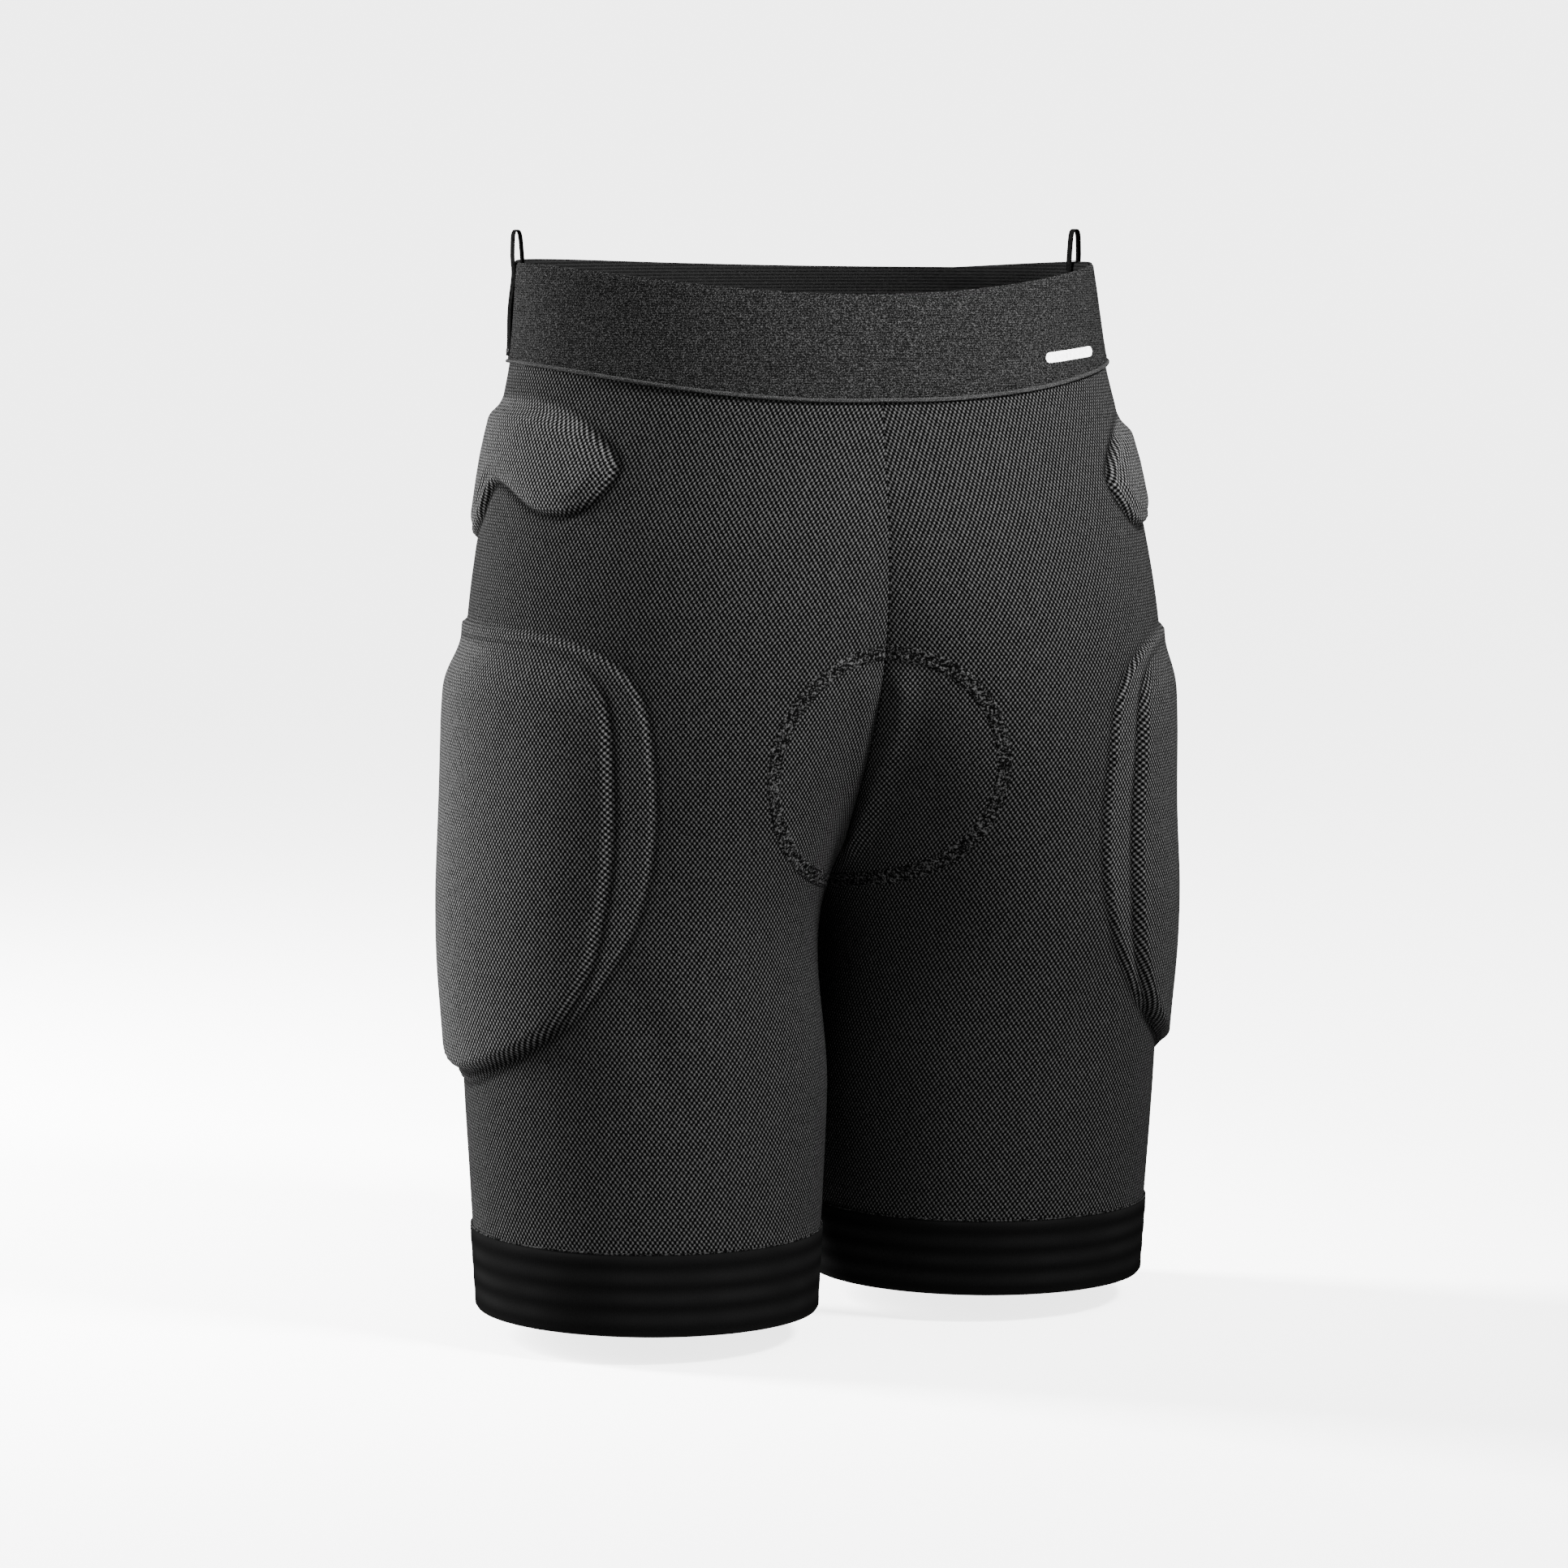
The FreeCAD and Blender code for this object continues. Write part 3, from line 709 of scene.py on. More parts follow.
def make_plies(side):
    fade = smooth_step(to_edge / (12 * MM))
    relief, crease = pad_relief(side, turn_grid, z_grid, along_grid)
    over_foam_lit, groove_and_painted_shade = pad_marks(side, z_grid, along_grid)
    out = relief + crease * fade + seam_dip(to_edge) + seat_folds(side, turn_grid, z_grid, to_edge)
    out -= PRESSED_DEPTH * groove_and_painted_shade
    outer = place(side, turn_grid, z_grid, out)
    inner = place(side, turn_grid, z_grid, out - PLY)
    seat = in_seat(turn_grid, z_grid).astype(int)
    piece = two_ply(f"{side}_outer_ply", outer, inner, uv_grid, False, [mesh_cloth, seat_cloth], seat)
    # painted light over the foam, read by the knit's colour
    paint(piece, "over_foam_lit", over_foam_lit)
    # painted shade along the pads' edges, read by the knit's colour
    paint(piece, "groove_and_painted_shade", groove_and_painted_shade)
    cad = ("pelvis_panel", "hip_crease", "thigh_panel", "hip_pad_cover", "thigh_pad_cover")
    stands_for(piece, "mesh", *[f"{side}_{name}" for name in cad], "tailbone_pad_cover")
    declare_cloth(piece, *PANEL_FLAT, ["waistband", f"{side}_hem_band"])
    with_leg(piece)

    turn, z, along = ply_grid(INNER_COLUMNS, INNER_PLY)
    outer = place(side, turn, z, INNER_PLY + PLY)
    inner = place(side, turn, z, INNER_PLY)
    plain = two_ply(f"{side}_inner_ply", outer, inner, np.stack([along, z], -1), False, [lining_cloth])
    stands_for(plain, "mesh", f"{side}_pelvis_panel", f"{side}_thigh_panel")
    declare_cloth(plain, *PANEL_FLAT, ["waistband", f"{side}_hem_band"])
    with_leg(plain)


# ---- Foam pads ----


PAD_RINGS = 16


def pad_body(name, side, loop, low, high, material):
    """Crowned pad inside a closed outline, between two offset functions of (points)."""
    middle = loop.mean(0)
    shares = 1 - (1 - np.linspace(0, 1, PAD_RINGS)) ** 1.6
    shares = np.clip(shares, 0.02, 0.985)
    flat = middle + shares[:, None, None] * (loop - middle)
    z = flat[..., 1]
    turn = turn_at(flat[..., 0].ravel(), z.ravel()).reshape(z.shape)
    points = flat.reshape(-1, 2)
    top = place(side, turn, z, high(points).reshape(z.shape))
    bottom = place(side, turn, z, low(points).reshape(z.shape))
    flat = np.concatenate([flat, flat[:, :1]], 1)
    return two_ply(name, top, bottom, flat, True, [material])


def make_foam(side):
    under_ply = PLY + 0.25 * MM
    floor = INNER_PLY + PLY + 0.15 * MM

    def hip_top(points):
        return np.maximum(hip_relief(side, points) - under_ply, floor + 0.3 * MM)

    def base_top(points):
        return np.maximum(base_relief(side, points) - under_ply, floor + 0.3 * MM)

    def foam_top(points):
        top = base_relief(side, points) + foam_relief(side, points) - under_ply
        return np.maximum(top, base_top(points) + 0.3 * MM)

    def bottom(points):
        return np.full(len(points), floor)

    def foam_floor(points):
        return base_top(points) + 0.1 * MM

    pads = (
        ("hip_pad", hip_loop[side], bottom, hip_top),
        ("thigh_pad_base", base_loop[side], bottom, base_top),
        ("thigh_pad", foam_loop[side], foam_floor, foam_top),
    )
    for name, loop, low, high in pads:
        piece = pad_body(f"{side}_{name}_foam", side, loop, low, high, pad_foam)
        stands_for(piece, "pad_foam", f"{side}_{name}")
        with_leg(piece)


def make_tail_foam():
    """Tailbone pad under the cloth of both halves, laid out from above by rows of height."""
    edge = TAIL_RADIUS - 0.5 * MM
    heights = np.linspace(TAIL_HEIGHT - edge + 1 * MM, TAIL_HEIGHT + edge - 1 * MM, 60)
    reach = np.sqrt(edge**2 - (heights - TAIL_HEIGHT) ** 2)
    reach = np.minimum(TAIL_HALF_WIDTH - 0.5 * MM, reach)
    shares = np.linspace(-1, 1, 57)
    across = shares * reach[:, None]
    z = np.repeat(heights[:, None], len(shares), 1)
    left = np.abs(across)
    rise = np.maximum(tail_relief(left, z) - PLY - 0.25 * MM, -1.2 * MM)

    def back_face(out):
        turn = -turn_across(left, z, out)
        points = place("left", turn, z, out)
        points[..., 0] = across
        return points

    top, bottom = back_face(rise), back_face(np.full_like(z, INNER_PLY + PLY + 0.15 * MM))
    piece = two_ply("tailbone_pad_foam", top, bottom, np.stack([across, z], -1), False, [pad_foam])
    stands_for(piece, "pad_foam", "tailbone_pad")
    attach(piece, "pelvis")


# ---- Waistband ----

ROUND_HALF = 180
WAISTBAND_WIDTH = 48 * MM


def waist_columns():
    """Side and share of every column round the waist, starting at the middle of the back."""
    shares = np.linspace(-1, 1, ROUND_HALF, endpoint=False)
    return [("right", shares), ("left", -shares)]


def waist_band(name, section, top, top_arcs, low, low_arcs, materials):
    """Closed band round the waist. section is a closed list of (share of the height, out)."""
    columns, lengths = [], []
    for side, shares in waist_columns():
        high_z = edge_height(side, shares, top, top_arcs)
        low_z = edge_height(side, shares, low, low_arcs)
        wobble = 0.35 * MM * np.sin(shares * 7.1 + SIDES[side]) * np.sin(shares * 13.0)
        wobble *= 1 - shares**8
        for share, out in section:
            z = low_z + share * (high_z - low_z)
            turn = shares * middle_turn(z, out)
            lift = wobble * math.sin(math.pi * min(max(share, 0), 1))
            columns.append(place(side, turn, z, out + lift))
            lengths.append(z)
    count = len(section)
    halves = [np.stack(columns[k * count:(k + 1) * count]) for k in range(2)]
    heights = [np.stack(lengths[k * count:(k + 1) * count]) for k in range(2)]
    loop = np.concatenate(halves, 1)
    z = np.concatenate(heights, 1)
    middle = loop.mean(0)
    steps = np.linalg.norm(np.diff(np.concatenate([middle, middle[:1]]), axis=0), axis=1)
    along = np.concatenate([[0], np.cumsum(steps)])
    z = np.concatenate([z, z[:, :1]], 1)
    z = np.concatenate([z, z[:1]], 0)
    uv = np.stack([np.broadcast_to(along, z.shape), z], -1)
    return loop_sweep(name, loop, uv, True, materials), along[-1]


def rounded_section(inner, outer, rows, corner):
    """Closed section of a band with rounded edges, in (share, out)."""
    shares = np.linspace(0, 1, rows)
    middle, half = (inner + outer) / 2, (outer - inner) / 2
    near = np.minimum(shares, 1 - shares) / corner
    half = half * np.sqrt(1 - (1 - np.clip(near, 0.02, 1)) ** 2)
    return [*zip(shares, middle + half), *zip(shares[::-1], (middle - half)[::-1])]


def make_waist():
    section = rounded_section(-0.5 * MM, 1.2 * MM, 34, 0.03)
    seam = (WAIST_SEAM, SEAM_ARCS)
    band, girth = waist_band("waistband_elastic", section, RIM, RIM_ARCS, *seam, [waist_elastic])
    stands_for(band, "waist_elastic", "waistband")
    declare_cloth(band, girth, WAISTBAND_WIDTH, ["right_outer_ply", "left_outer_ply"])
    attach(band, "pelvis")

    section = rounded_section(-2.2 * MM, -0.55 * MM, 16, 0.05)
    top = RIM - 0.6 * MM
    lining, girth = waist_band("waistband_inside", section, top, RIM_ARCS, *seam, [waist_lining])
    stands_for(lining, "waist_lining", "waistband_lining")
    declare_cloth(lining, girth, WAISTBAND_WIDTH, ["waistband_elastic"])
    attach(lining, "pelvis")

    turns = np.linspace(0, 2 * math.pi, 12, endpoint=False)
    section = [(0.5 + 0.5 * math.cos(t), (1.25 + 0.7 * math.sin(t)) * MM) for t in turns]
    top, low = WAIST_SEAM + 1.6 * MM, WAIST_SEAM - 0.2 * MM
    piping = waist_band("waistband_edge", section, top, SEAM_ARCS, low, SEAM_ARCS, [seam_edge])[0]
    on_pelvis(piping, "waist_elastic", "waistband_piping")

    row = waist_path(WAIST_SEAM + 3.2 * MM, SEAM_ARCS, 1.22 * MM)
    sewn = stitches("waistband_stitching", *row, 2.6 * MM, 1.9 * MM, 0.22 * MM, dark_thread, closed=True)
    on_pelvis(sewn, "thread", "waistband_piping")


def waist_path(top, arcs, out):
    """Closed line round the waist and its outward normals."""
    points, normals = [], []
    for side, shares in waist_columns():
        z = edge_height(side, shares, top, arcs)
        turn = shares * middle_turn(z, out)
        points.append(place(side, turn, z, out))
        normals.append(outward(side, turn, z))
    return np.concatenate(points), np.concatenate(normals)


# ---- Stitches and sewn strips ----


def resampled(points, normals, pitch, closed):
    """Points every pitch along a line, with tangent and normal."""
    if closed:
        points = np.concatenate([points, points[:1]])
        normals = np.concatenate([normals, normals[:1]])
    steps = np.linalg.norm(np.diff(points, axis=0), axis=1)
    run = np.concatenate([[0], np.cumsum(steps)])
    count = max(2, int(run[-1] / pitch))
    at = (np.arange(count) + 0.5) * run[-1] / count

    def read(values, where):
        return np.stack([np.interp(where, run, values[:, k]) for k in range(3)], 1)

    tangent = read(points, np.minimum(at + pitch / 4, run[-1]))
    tangent = tangent - read(points, np.maximum(at - pitch / 4, 0))
    tangent /= np.linalg.norm(tangent, axis=1)[:, None]
    normal = read(normals, at)
    normal -= (normal * tangent).sum(1)[:, None] * tangent
    normal /= np.linalg.norm(normal, axis=1)[:, None]
    return read(points, at), tangent, normal


def capsule():
    """Small rounded stitch of unit length and radius 1 in (along, side, up), with its quads."""
    stations = np.array([-0.5, -0.42, -0.2, 0.2, 0.42, 0.5])
    radii = np.array([0.15, 0.75, 1.0, 1.0, 0.75, 0.15])
    turns = np.linspace(0, 2 * math.pi, 6, endpoint=False)
    points = [(s, r * math.cos(t), r * math.sin(t)) for s, r in zip(stations, radii) for t in turns]
    faces = grid_faces(6, 6, False, True)[0]
    ends = [list(range(6))[::-1], list(range(30, 36))]
    return np.array(points), [*faces.tolist(), *ends]


def stitches(name, points, normals, pitch, length, radius, material, closed=False, offset=0.0, lean=0.0):
    """A row of stitches along a line, offset to its side. lean turns each one from the line."""
    at, tangent, normal = resampled(points, normals, pitch, closed)
    side = np.cross(normal, tangent)
    shape, quads = capsule()
    turn = np.where(np.arange(len(at)) % 2, lean, -lean)[:, None]
    way = tangent * np.cos(turn) + side * np.sin(turn)
    cross = np.cross(normal, way)
    moved = at + side * offset
    along, wide, up = (shape * (length, radius, 0.8 * radius)).T[..., None]
    body = moved[:, None] + along * way[:, None] + wide * cross[:, None] + up * normal[:, None]
    count = len(shape)
    faces = [[corner + k * count for corner in quad] for k in range(len(at)) for quad in quads]
    return mesh_object(name, body.reshape(-1, 3), faces, materials=[material], sharp=180)


STRIP_STEP = 1.6 * MM


def strip(name, points, normals, section, material):
    """Flat strip laid along a line. section is a closed list of (to the side, up)."""
    at, tangent, normal = resampled(points, normals, STRIP_STEP, False)
    side = np.cross(normal, tangent)
    loop = np.stack([at + a * side + h * normal for a, h in section])
    run = np.arange(len(at)) * STRIP_STEP
    rows = np.array([a for a, _ in section] + [section[0][0]])
    uv = np.stack(np.broadcast_arrays(run[None, :], rows[:, None]), -1)
    return loop_sweep(name, loop, uv, False, [material], sharp=60)


def strip_section(half, tops, low):
    """Closed section from a profile of heights across the strip."""
    across = np.linspace(-half, half, len(tops))
    return [*zip(across, tops), *[(a, low) for a in across[::-1]]]


# ---- Seat ring, seat pad and its lining ----


def seat_line(side, radius, out):
    """Line sewn round the seat pad on one half, from the top of the front, down past the side of
    the crotch and up the back, with its normals."""
    angle = np.radians(np.linspace(90, -70, 90))
    z = SEAT_HEIGHT + radius * np.sin(angle)
    across = radius * np.cos(angle)
    turn = turn_across(across, z, out)
    t = np.linspace(0, 1, 40)[1:]
    under_turn = turn[-1] + (math.pi - turn[-1]) * t
    under_z = z[-1] - 7 * MM * (1 - (1 - t) ** 2)
    turn = np.concatenate([turn, under_turn])
    z = np.concatenate([z, under_z])
    turn = np.concatenate([turn, (2 * math.pi - turn[::-1])[1:]])
    z = np.concatenate([z, z[::-1][1:]])
    points, normals = place(side, turn, z, out), outward(side, turn, z)
    for _ in range(6):
        points[1:-1] = (points[:-2] + 2 * points[1:-1] + points[2:]) / 4
        normals[1:-1] = (normals[:-2] + 2 * normals[1:-1] + normals[2:]) / 4
    points[[0, -1], 0] = 0
    return points, normals


def make_seat_ring(side):
    points, normals = seat_line(side, SEAT_RADIUS - 4 * MM, 0.15 * MM)
    tops = np.array([0.05, 0.42, 0.5, 0.3, 0.16, 0.3, 0.5, 0.42, 0.05]) * MM
    section = strip_section(3.6 * MM, tops, -0.4 * MM)
    band = strip(f"{side}_seat_ring_tape", points, normals, section, ring_tape)
    rows = []
    for k, offset in enumerate((-2.7 * MM, 2.7 * MM)):
        rows.append(stitches(f"{side}_seat_ring_row{k}", points, normals, 1.7 * MM, 1.5 * MM, 0.26 * MM,
                             pale_thread, offset=offset, lean=0.35))
    rows.append(stitches(f"{side}_seat_ring_zigzag", points, normals, 1.3 * MM, 4.6 * MM, 0.2 * MM,
                         dark_thread, lean=1.05))
    for piece in (band, *rows):
        stands_for(piece, "thread", f"{side}_seat_ring")
        with_leg(piece)


def seat_flap(side, face, radius, low, high, name, material, crown):
    """Half disc on the front or back of the crotch. crown is how much thinner its rim is."""
    shares = np.linspace(0.02, 1, 22)
    angles = np.radians(np.linspace(90, -84, 50))
    across = np.outer(shares * radius, np.cos(angles))
    z = SEAT_HEIGHT + np.outer(shares * radius, np.sin(angles))
    dome = np.sqrt(np.clip(1 - shares[:, None] ** 3, 0, 1)) * np.ones_like(z)
    thick = low + (high - low) * (1 - crown * (1 - dome))

    def skin(out):
        turn = face * turn_across(across, z, out)
        return place(side, turn, z, out)

    uv = np.stack([across, z], -1)
    return two_ply(name, skin(np.full_like(z, low)), skin(thick), uv, False, [material])


def joined(name, pieces):
    """One object from several meshes."""
    target = pieces[0]
    with bpy.context.temp_override(active_object=target, selected_editable_objects=pieces, object=target):
        bpy.ops.object.join()
    target.name = name
    target.data.name = name
    return target


SEAT_LINING_FLAT = (0.07, 0.24)


def make_seat_pad(side):
    layers = (
        ("seat_pad", "seat_foam", -2.7 * MM, -10.2 * MM, seat_foam, 0.9),
        ("seat_pad_lining", "seat_lining", -10.4 * MM, -11.2 * MM, seat_lining, 0.0),
    )
    for node, slot, low, high, material, crown in layers:
        flaps = []
        for label, face in (("front", 1), ("back", -1)):
            name = f"{side}_{node}_{label}"
            flaps.append(seat_flap(side, face, SEAT_RADIUS - 1 * MM, low, high, name, material, crown))
        piece = joined(f"{side}_{node}_body", flaps)
        stands_for(piece, slot, f"{side}_{node}")
        if node == "seat_pad":
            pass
        else:
            declare_cloth(piece, *SEAT_LINING_FLAT, [f"{side}_seat_pad_body"])
        with_leg(piece)


# ---- Hems, grips and seams of the legs ----


HEM_FLAT = (0.54, 0.0375)
LEG_RADIUS = 85 * MM
TAPE_TOPS = np.array([0.05, 0.5, 0.35, 0.55, 0.35, 0.5, 0.05]) * MM
TAPE_SECTION = strip_section(3 * MM, TAPE_TOPS, -0.1 * MM)
TAPE_OUT = -2.6 * MM


def leg_band(name, side, section, low, high, materials, ripple=0.0):
    """Closed band round one leg. section is a closed list of (share of the height, out)."""
    turns = np.linspace(-math.pi, math.pi, 240, endpoint=False)
    rows = []
    for share, out in section:
        z = np.full_like(turns, low + share * (high - low))
        wave = ripple * np.sin(z / (9.5 * MM) * 2 * math.pi) * (0.6 + 0.4 * np.sin(2 * turns + 0.7))
        rows.append(place(side, turns, z, out + wave))
    loop = np.stack(rows)
    heights = np.array([low + share * (high - low) for share, _ in [*section, section[0]]])
    run = np.linspace(0, 2 * math.pi * LEG_RADIUS, len(turns) + 1)
    uv = np.stack(np.broadcast_arrays(run[None, :], heights[:, None]), -1)
    return loop_sweep(name, loop, uv, True, materials)


def make_leg_trim(side):
    section = rounded_section(-0.8 * MM, 1.05 * MM, 30, 0.035)
    band = leg_band(f"{side}_hem_elastic", side, section, HEM_LOW, HEM_TOP, [hem_elastic], 0.12 * MM)
    stands_for(band, "hem_elastic", f"{side}_hem_band")
    declare_cloth(band, *HEM_FLAT, [f"{side}_outer_ply"])

    turns = np.linspace(0, 2 * math.pi, 10, endpoint=False)
    section = [(0.5 + 0.5 * math.cos(t), (0.35 + 0.5 * math.sin(t)) * MM) for t in turns]
    low, high = HEM_TOP - 0.2 * MM, HEM_TOP + 0.8 * MM
    bead = leg_band(f"{side}_hem_bead", side, section, low, high, [dark_thread])
    stands_for(bead, "thread", f"{side}_hem_seam")

    low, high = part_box(f"{side}_hem_grip")[0].z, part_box(f"{side}_hem_grip")[1].z
    section = rounded_section(-2.3 * MM, -0.9 * MM, 16, 0.07)
    grip = leg_band(f"{side}_grip_strip", side, section, low, high, [grip_rubber])
    stands_for(grip, "silicone", f"{side}_hem_grip")

    z = np.linspace(HEM_TOP + 1 * MM, CROTCH - 4 * MM, 90)
    turn = np.full_like(z, math.pi)
    points, normals = place(side, turn, z, TAPE_OUT), -outward(side, turn, z)
    tape = strip(f"{side}_inseam_tape", points, normals, TAPE_SECTION, seam_tape)
    stands_for(tape, "seam_tape", f"{side}_inseam")
    for piece in (band, bead, grip, tape):
        with_leg(piece)


def make_centre_tapes():
    """Seam tapes inside the middle of the front and back."""
    for name, face in (("front_seam", 1), ("back_seam", -1)):
        low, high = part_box(name)[0].z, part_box(name)[1].z
        z = np.linspace(low + 1 * MM, high, 70)
        turn = face * middle_turn(z, TAPE_OUT)
        points = place("left", turn, z, TAPE_OUT)
        points[:, 0] = 0
        normals = -outward("left", turn, z)
        normals[:, 0] = 0
        tape = strip(f"{name}_tape", points, normals, TAPE_SECTION, seam_tape)
        on_pelvis(tape, "seam_tape", name)


# ---- Hanger loops ----


def make_hanger(side):
    sign = SIDES[side]
    loop_low, loop_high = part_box(f"{side}_hanger_loop")
    tape_y = (loop_low.y + loop_high.y) / 2
    half = (loop_high.y - loop_low.y) / 2
    crown = loop_high.z - 0.35 * MM
    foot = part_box(f"{side}_hanger_outer_tail")[0].z
    rim_x = abs((loop_low.x + loop_high.x) / 2)

    def wall(z, out):
        turn = np.arcsin(np.clip((setback(z) - tape_y) / half_depth(z), -1, 1))
        return np.abs(place(side, turn, z, out)[..., 0])

    up = np.linspace(foot, -3 * MM, 24)
    slack = 1.1 * MM * np.sin(math.pi * np.linspace(0, 1, len(up))) ** 2
    outside = np.stack([wall(up, 1.6 * MM) + slack, up], 1)
    inside = np.stack([wall(up, -2.75 * MM), up], 1)[::-1]
    spread = 1.75 * MM
    stand = np.linspace(1 * MM, crown - 4 * MM, 10)
    leg_out = np.stack([rim_x + np.interp(stand, [0, crown], [2.1 * MM, spread]), stand], 1)
    leg_in = np.stack([rim_x - np.interp(stand, [0, crown], [2.9 * MM, spread]), stand], 1)[::-1]
    arc = np.linspace(0, math.pi, 11)[1:-1]
    top = np.stack([rim_x + spread * np.cos(arc), crown - 2.2 * MM + 2.2 * MM * np.sin(arc)], 1)
    path = np.concatenate([outside, leg_out, top, leg_in, inside])
    for _ in range(3):
        path[1:-1] = (path[:-2] + 2 * path[1:-1] + path[2:]) / 4

    way = np.gradient(path, axis=0)
    way /= np.linalg.norm(way, axis=1)[:, None]
    normal = np.stack([way[:, 1], -way[:, 0]], 1)
    run = np.concatenate([[0], np.cumsum(np.linalg.norm(np.diff(path, axis=0), axis=1))])
    thin = 0.28 * MM
    across = np.array([-1, -0.9, -0.3, 0.3, 0.9, 1])
    rows = []
    for face in (1, -1):
        for a in across if face == 1 else across[::-1]:
            lift = face * thin * (0.35 if abs(a) == 1 else 1)
            line = path + lift * normal
            rows.append(np.stack([sign * line[:, 0], np.full(len(path), tape_y + a * half), line[:, 1]], 1))
    loop = np.stack(rows)
    sides = np.concatenate([across, across[::-1], across[:1]]) * half
    uv = np.stack(np.broadcast_arrays(run[None, :], sides[:, None]), -1)
    tape = loop_sweep(f"{side}_hanger_tape", loop, uv, False, [hanger_tape], sharp=70)
    cad = [f"{side}_hanger_{name}" for name in ("loop", "outer_tail", "inner_tail")]
    stands_for(tape, "hanger_tape", *cad)
    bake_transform(tape)

    bar_x, bar_z, reach = sign * (rim_x + 0.1 * MM), 0.15 * MM, 0.85 * half
    bar = np.array([[bar_x, tape_y - reach, bar_z], [bar_x, tape_y + reach, bar_z]])
    up_normals = np.array([[0, 0, 1.0], [0, 0, 1.0]])
    size = (0.75 * MM, 1.9 * MM, 0.28 * MM)
    tack = stitches(f"{side}_bartack", bar, up_normals, *size, dark_thread, lean=1.35)
    on_pelvis(tack, "thread", f"{side}_hanger_bartack")

    low_z = foot + 2.5 * MM
    x_low = float(wall(np.array(low_z), 2.2 * MM))
    bar_x, reach = sign * x_low, 0.8 * half
    bar = np.array([[bar_x, tape_y - reach, low_z], [bar_x, tape_y + reach, low_z]])
    side_normals = np.array([[sign * 1.0, 0, 0], [sign * 1.0, 0, 0]])
    size = (0.8 * MM, 2.2 * MM, 0.2 * MM)
    tack = stitches(f"{side}_tail_stitch", bar, side_normals, *size, pale_thread, lean=1.2)
    on_pelvis(tack, "thread", f"{side}_hanger_outer_tail")


# ---- Mark and care label ----


def make_mark():
    """Plain rounded bar printed on the front left of the waistband."""
    low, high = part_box("waistband_mark")
    middle_x, middle_z = (low.x + high.x) / 2, (low.z + high.z) / 2
    half_x, half_z = (high.x - low.x) / 2 - 0.3 * MM, 2.4 * MM
    u = np.linspace(-1, 1, 41)
    v = np.linspace(-1, 1, 9)
    into_end = np.clip((np.abs(u) * half_x - (half_x - half_z)) / half_z, 0, 1)
    shrink = half_z * np.sqrt(np.clip(1 - into_end**2, 0.01, 1))
    x = middle_x + half_x * u[None, :] * np.ones((9, 1))
    tilt = 0.08 * (x - middle_x)
    z = middle_z + v[:, None] * shrink[None, :] + tilt

    def film(out):
        return place("left", turn_across(x, z, out), z, out)

    uv = np.stack([x, z], -1)
    piece = two_ply("waistband_print", film(1.42 * MM), film(1.1 * MM), uv, False, [print_film])
    on_pelvis(piece, "print", "waistband_mark")


LABEL_DEPTH = -3 * MM


def make_label():
    """Blank care label hanging from the waist seam inside the back."""
    low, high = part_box("care_label")
    u = np.linspace(0, 1, 24)
    v = np.linspace(0, 1, 36)
    x = low.x + (high.x - low.x) * u[None, :] * np.ones((36, 1))
    z = low.z + (high.z - low.z) * v[:, None] * np.ones((1, 24))
    curl = -0.7 * MM * np.sin(math.pi * u)[None, :] * (1 - v[:, None]) - 0.5 * MM * (1 - v[:, None]) ** 2

    def leaf(out):
        return place("left", -turn_across(x, z, LABEL_DEPTH), z, out + curl)

    uv = np.stack([x, z], -1)
    piece = two_ply("care_label_leaf", leaf(-2.7 * MM), leaf(LABEL_DEPTH), uv, False, [label_satin])
    stands_for(piece, "label", "care_label")
    declare_cloth(piece, high.x - low.x + 2 * MM, high.z - low.z + 2 * MM, ["waistband_inside"])
    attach(piece, "pelvis")


# ---- Assembly ----

make_waist()
make_mark()
make_label()
make_centre_tapes()
make_tail_foam()
for side in SIDES:
    make_plies(side)
    make_foam(side)
    make_seat_ring(side)
    make_seat_pad(side)
    make_leg_trim(side)
    make_hanger(side)


# ---- Floor, light and camera ----


BACKGROUND = 4.5
FLOOR_TONE = 0.3


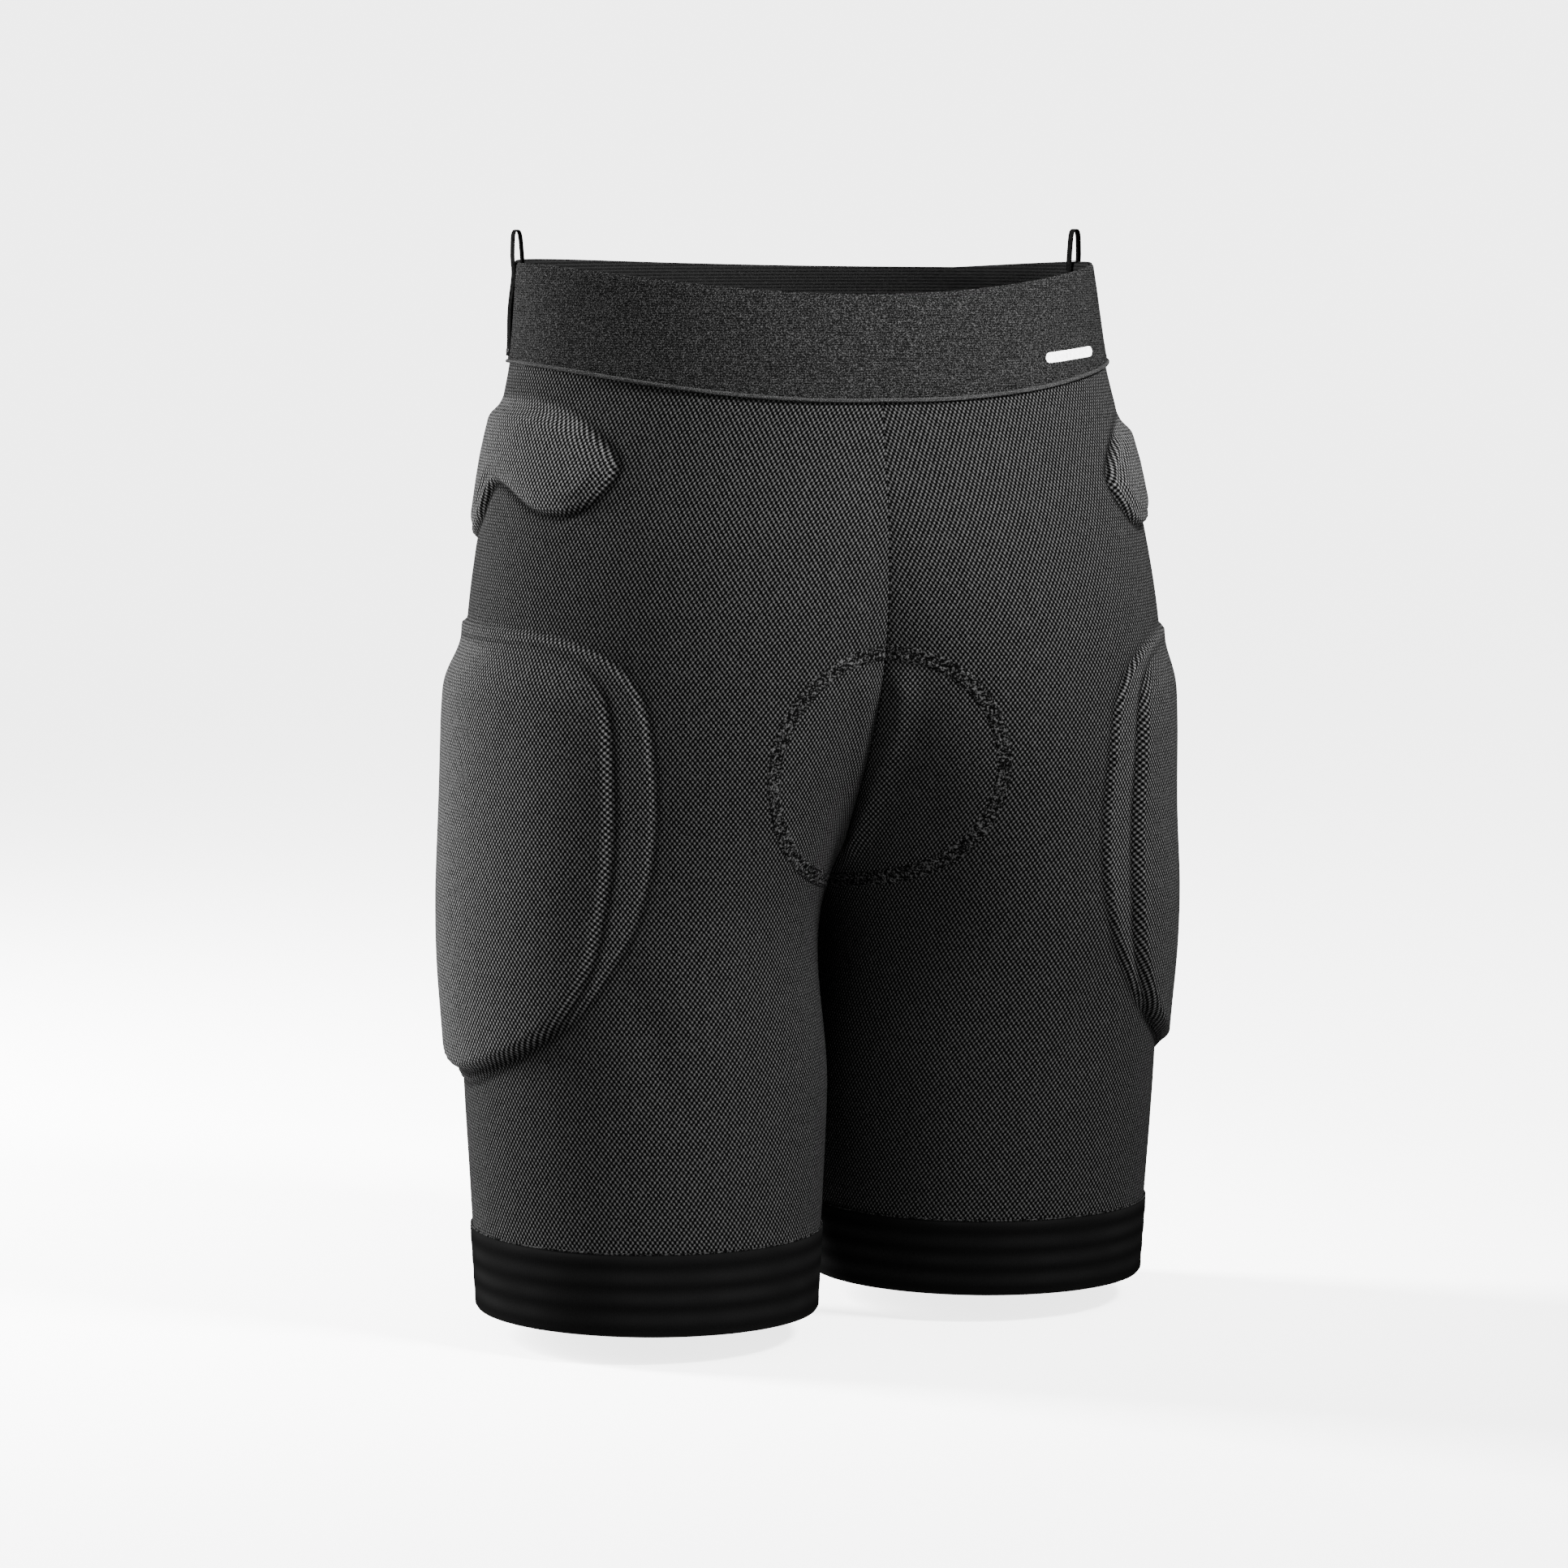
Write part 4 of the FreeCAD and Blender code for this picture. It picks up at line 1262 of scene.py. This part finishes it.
def make_stage():
    """White floor that meets the white surroundings without a line, and still takes a shadow."""
    floor_z = HEM_LOW - 14 * MM
    corners = [(-40, -40, floor_z), (40, -40, floor_z), (40, 40, floor_z), (-40, 40, floor_z)]
    n = Nodes("floor_white", Roughness=1.0, Specular_IOR_Level=0.0, Base_Color=(*grey(FLOOR_TONE), 1),
              Emission_Color=(1, 1, 1, 1), Emission_Strength=BACKGROUND * (1 - FLOOR_TONE))
    floor = mesh_object("floor", corners, [[0, 1, 2, 3]], materials=[n.material])

    world = bpy.data.worlds.new("studio")
    world.use_nodes = True
    background = world.node_tree.nodes["Background"]
    background.inputs[0].default_value = (1, 1, 1, 1)
    background.inputs[1].default_value = BACKGROUND
    bpy.context.scene.world = world


def softbox(name, at, target, width, height, power, spread=180):
    light = bpy.data.lights.new(name, "AREA")
    light.shape = "RECTANGLE"
    light.size = width
    light.size_y = height
    light.energy = power
    light.spread = math.radians(spread)
    lamp = bpy.data.objects.new(name, light)
    lamp.location = at
    lamp.rotation_euler = (Vector(target) - Vector(at)).to_track_quat("-Z", "Y").to_euler()
    bpy.context.scene.collection.objects.link(lamp)


def make_lights():
    softbox("left_back", (-1.45, 1.15, 0.35), (-0.15, 0, -0.2), 0.45, 1.1, 1100)
    softbox("right_front", (0.8, -1.05, 0.95), (0.06, -0.05, 0.02), 0.4, 0.4, 42, spread=44)


def make_camera():
    target = Vector((0, 0, -0.244))
    azimuth, elevation, distance = math.radians(-17.1), math.radians(5.3), 2.95
    level = math.cos(elevation)
    back = Vector((math.sin(azimuth) * level, -math.cos(azimuth) * level, math.sin(elevation)))
    data = bpy.data.cameras.new("camera")
    data.sensor_width = 36
    data.lens = 140.2
    data.shift_x = -0.0155
    data.shift_y = -0.0095
    data.clip_start = 0.1
    data.clip_end = 200
    camera = bpy.data.objects.new("camera", data)
    camera.location = target + back * distance
    camera.rotation_euler = (-back).to_track_quat("-Z", "Y").to_euler()
    bpy.context.scene.collection.objects.link(camera)
    bpy.context.scene.camera = camera


make_stage()
make_lights()
make_camera()
